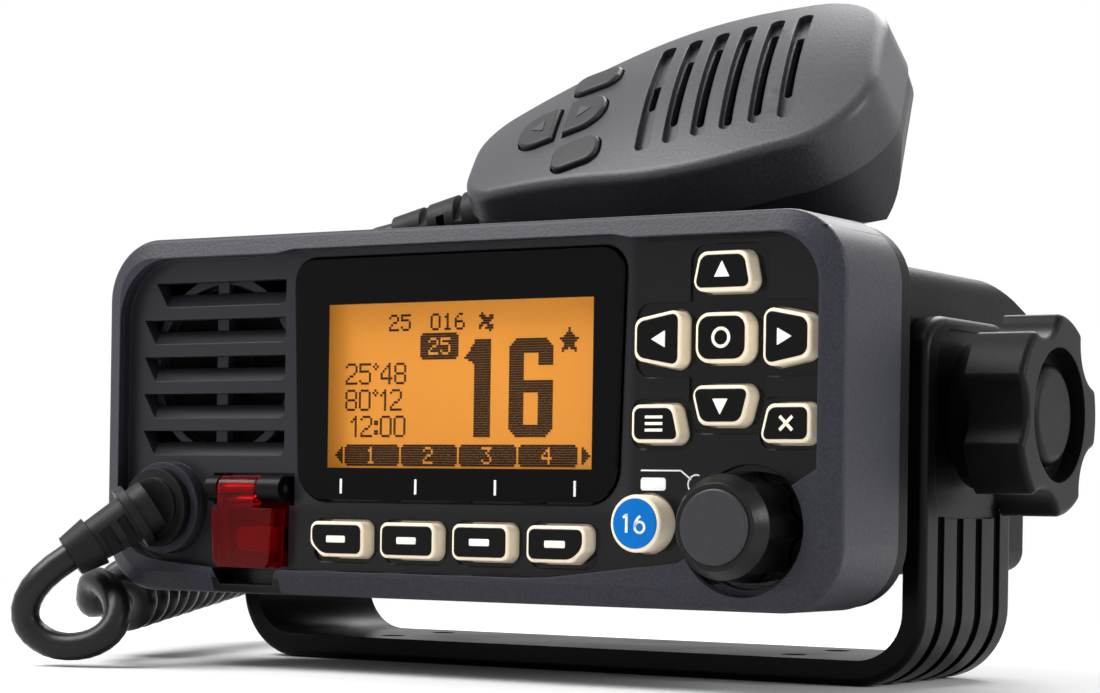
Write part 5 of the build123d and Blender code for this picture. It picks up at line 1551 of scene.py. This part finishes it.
# ------------------------------------------------------------------ carried-over parts
@dataclass
class CadFinishes:
    """Finish of each CAD node that shows.

    Attributes:
        groups: Each finish with the names of the nodes that have it.
    """

    groups: tuple[tuple[Finish, tuple[str, ...]], ...] = (
        (Finishes.panel, ("front_panel",)),
        (Finishes.window, ("display_window",)),
        (Finishes.amber, ("lcd_module",)),
        (Finishes.inner, ("lcd_holder", "encoder_plunger", "power_module")),
        (Finishes.basket, ("speaker_frame",)),
        (Finishes.cone, ("speaker_cone", "mic_speaker")),
        (Finishes.key_cream, ("key_sixteen", "keypad_sheet")),
        (Finishes.board, ("front_board", "main_board", "mic_board")),
        (Finishes.dial_black, ("volume_knob",)),
        (Finishes.dial_disc, ("knob_cap",)),
        (Finishes.steel, ("encoder_shaft", "encoder_body", "cover_hinge_pin", "panel_screws",
                          "shield_can", "ground_screw", "bracket_stud_left", "bracket_stud_right",
                          "mic_hanger_button", "mic_screws")),
        (Finishes.clear_red, ("distress_cover",)),
        (Finishes.black_satin, ("hinge_bracket", "bracket")),
        (Finishes.button_red, ("distress_button",)),
        (Finishes.rubber, ("panel_gland", "panel_gasket", "cable_grommet", "mic_strain_relief")),
        (Finishes.cast_metal, ("chassis",)),
        (Finishes.brass, ("antenna_connector",)),
        (Finishes.black_moulded, ("bracket_knob_left", "bracket_knob_right", "bracket_washers")),
        (Finishes.mic_grey, ("mic_front_shell",)),
        (Finishes.mic_dark, ("mic_rear_shell",)),
        (Finishes.mic_key, ("mic_key_down", "mic_key_up", "mic_key_power", "mic_key_sixteen",
                            "mic_ptt")),
        (Finishes.cord, ("cord_lead", "cord_coil", "cord_tail")),
    )

    def dress(self, cad_nodes: dict[str, bpy.types.Object]) -> None:
        """Gives every CAD node its finish.

        Args:
            cad_nodes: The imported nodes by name.
        """
        finishes = {name: finish for finish, names in self.groups for name in names}
        finishes.update({key.name: Finishes.key_cream for key in Keypad().keys()})
        for name, node in cad_nodes.items():
            for slot in node.material_slots:
                slot.material = finishes[name].material()
            LOG.info("dressed %s", name)


# ------------------------------------------------------------------ studio
@dataclass
class Lamp:
    """A soft square lamp.

    Attributes:
        name: Name of the lamp.
        place: Where it stands, in metres.
        target: What it points at, in metres.
        size: Side of the lamp in metres.
        power: Power in watts.
    """

    name: str
    place: Point
    target: Point
    size: float
    power: float

    def build(self) -> None:
        """Builds the lamp."""
        data = bpy.data.lights.new(self.name, "AREA")
        data.shape = "SQUARE"
        data.size = self.size
        data.energy = self.power
        lamp = bpy.data.objects.new(self.name, data)
        lamp.location = self.place
        way = Vector(self.target) - Vector(self.place)
        lamp.rotation_euler = way.to_track_quat("-Z", "Y").to_euler()
        bpy.context.scene.collection.objects.link(lamp)


@dataclass
class Studio:
    """Camera, floor, backdrop light and lamps.

    Attributes:
        camera_place: Where the camera stands, in metres.
        camera_turn: Turn of the camera to the left in degrees.
        camera_roll: Roll of the camera in degrees.
        lens: Focal length in millimetres.
        sensor: Width of the sensor in millimetres.
        shift_y: Shift of the lens upwards, as a share of the sensor.
        near: Nearest distance that the camera sees, in metres.
        far: Farthest distance that the camera sees, in metres.
        ambient: Strength of the world where it lights the part.
        floor_reach: Half the side of the floor in metres.
        floor_tone: Linear value of the floor's colour.
        floor_fade: Distances from the zero, in metres, between which the floor turns white.
        lamps: The lamps.
    """

    camera_place: Point = (0.2730, -0.4554, 0.0316)
    camera_turn: float = 32.21
    camera_roll: float = 0.85
    lens: float = 89.25
    sensor: float = 36.0
    shift_y: float = 0.1425
    near: float = 0.01
    far: float = 20.0
    ambient: float = 0.34
    floor_reach: float = 3.0
    floor_tone: float = 0.92
    floor_fade: Flat = (0.10, 0.32)
    lamps: list[Lamp] = field(default_factory=lambda: [
        Lamp("key_lamp", (-0.55, -0.45, 0.95), (0.0, 0.0, 0.06), 0.7, 15.0),
        Lamp("back_lamp", (-0.1, 0.75, 0.8), (0.0, 0.0, 0.08), 0.6, 10.0),
        Lamp("side_lamp", (0.85, 0.1, 0.35), (0.05, 0.0, 0.06), 0.3, 3.0),
    ])

    def build(self) -> None:
        """Builds the studio."""
        self.camera()
        self.world()
        self.floor()
        for lamp in self.lamps:
            lamp.build()
        bpy.context.scene.view_settings.view_transform = "Standard"

    def camera(self) -> None:
        """Builds the camera: level, turned and slightly rolled."""
        data = bpy.data.cameras.new("camera")
        data.lens = self.lens
        data.sensor_width = self.sensor
        data.shift_y = self.shift_y
        data.clip_start = self.near
        data.clip_end = self.far
        camera = bpy.data.objects.new("camera", data)
        turn = math.radians(self.camera_turn)
        ahead = Vector((-math.sin(turn), math.cos(turn), 0))
        right = Vector((math.cos(turn), math.sin(turn), 0))
        columns = (right, Vector((0, 0, 1)), -ahead)
        facing = Matrix([[column[row] for column in columns] for row in range(3)]).to_4x4()
        camera.matrix_world = (Matrix.Translation(self.camera_place) @ facing
                               @ Matrix.Rotation(math.radians(self.camera_roll), 4, "Z"))
        bpy.context.scene.collection.objects.link(camera)
        bpy.context.scene.camera = camera

    def world(self) -> None:
        """Builds a world that lights softly and is white where it shows.

        It shows to the camera, in reflections and through clear parts.
        """
        world = bpy.data.worlds.new("studio")
        bpy.context.scene.world = world
        world.use_nodes = True
        tree = world.node_tree
        tree.nodes.clear()
        ways = tree.nodes.new("ShaderNodeLightPath")
        seen = None
        for name in ("Is Camera Ray", "Is Glossy Ray", "Is Transmission Ray"):
            if seen is None:
                seen = ways.outputs[name]
                continue
            either = tree.nodes.new("ShaderNodeMath")
            either.operation = "MAXIMUM"
            tree.links.new(seen, either.inputs[0])
            tree.links.new(ways.outputs[name], either.inputs[1])
            seen = either.outputs[0]
        soft = tree.nodes.new("ShaderNodeBackground")
        soft.inputs["Strength"].default_value = self.ambient
        white = tree.nodes.new("ShaderNodeBackground")
        for light in (soft, white):
            light.inputs["Color"].default_value = WHITE
        both = tree.nodes.new("ShaderNodeMixShader")
        output = tree.nodes.new("ShaderNodeOutputWorld")
        tree.links.new(seen, both.inputs[0])
        tree.links.new(soft.outputs[0], both.inputs[1])
        tree.links.new(white.outputs[0], both.inputs[2])
        tree.links.new(both.outputs[0], output.inputs["Surface"])

    def floor(self) -> None:
        """Builds a plain pale floor that turns plain white away from the radio."""
        bm = bmesh.new()
        bmesh.ops.create_grid(bm, x_segments=1, y_segments=1, size=self.floor_reach)
        data = bpy.data.meshes.new("floor")
        bm.to_mesh(data)
        bm.free()
        floor = bpy.data.objects.new("floor", data)
        bpy.context.scene.collection.objects.link(floor)
        shade = Shade("floor_pale")
        shade.surface.inputs["Base Color"].default_value = scaled(WHITE, self.floor_tone)
        shade.surface.inputs["Roughness"].default_value = 0.9
        shade.surface.inputs["Specular IOR Level"].default_value = 0.1
        white = shade.add("ShaderNodeEmission")
        white.inputs["Color"].default_value = WHITE
        distance = shade.add("ShaderNodeVectorMath", operation="LENGTH")
        shade.join(shade.object_space, distance.inputs[0])
        far = shade.ramp(distance.outputs["Value"], *self.floor_fade)
        ways = shade.add("ShaderNodeLightPath")
        share = shade.math("MULTIPLY", far, ways.outputs["Is Camera Ray"])
        both = shade.add("ShaderNodeMixShader")
        shade.join(share, both.inputs[0])
        shade.join(shade.surface.outputs["BSDF"], both.inputs[1])
        shade.join(white.outputs[0], both.inputs[2])
        output = next(n for n in shade.tree.nodes if n.bl_idname == "ShaderNodeOutputMaterial")
        shade.join(both.outputs[0], output.inputs["Surface"])
        data.materials.append(shade.material)


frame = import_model()


def main() -> None:
    """Builds the studio, the cord and every piece."""
    logging.basicConfig(level=logging.INFO, format="%(message)s")
    Studio().build()
    CurlyCord().build()
    CadFinishes().dress(frame["nodes"])
    for group in (Display(), Keypad(), PanelPrint(), Microphone()):
        group.build()
        LOG.info("built %s", type(group).__name__)


if __name__ == "__main__":
    main()
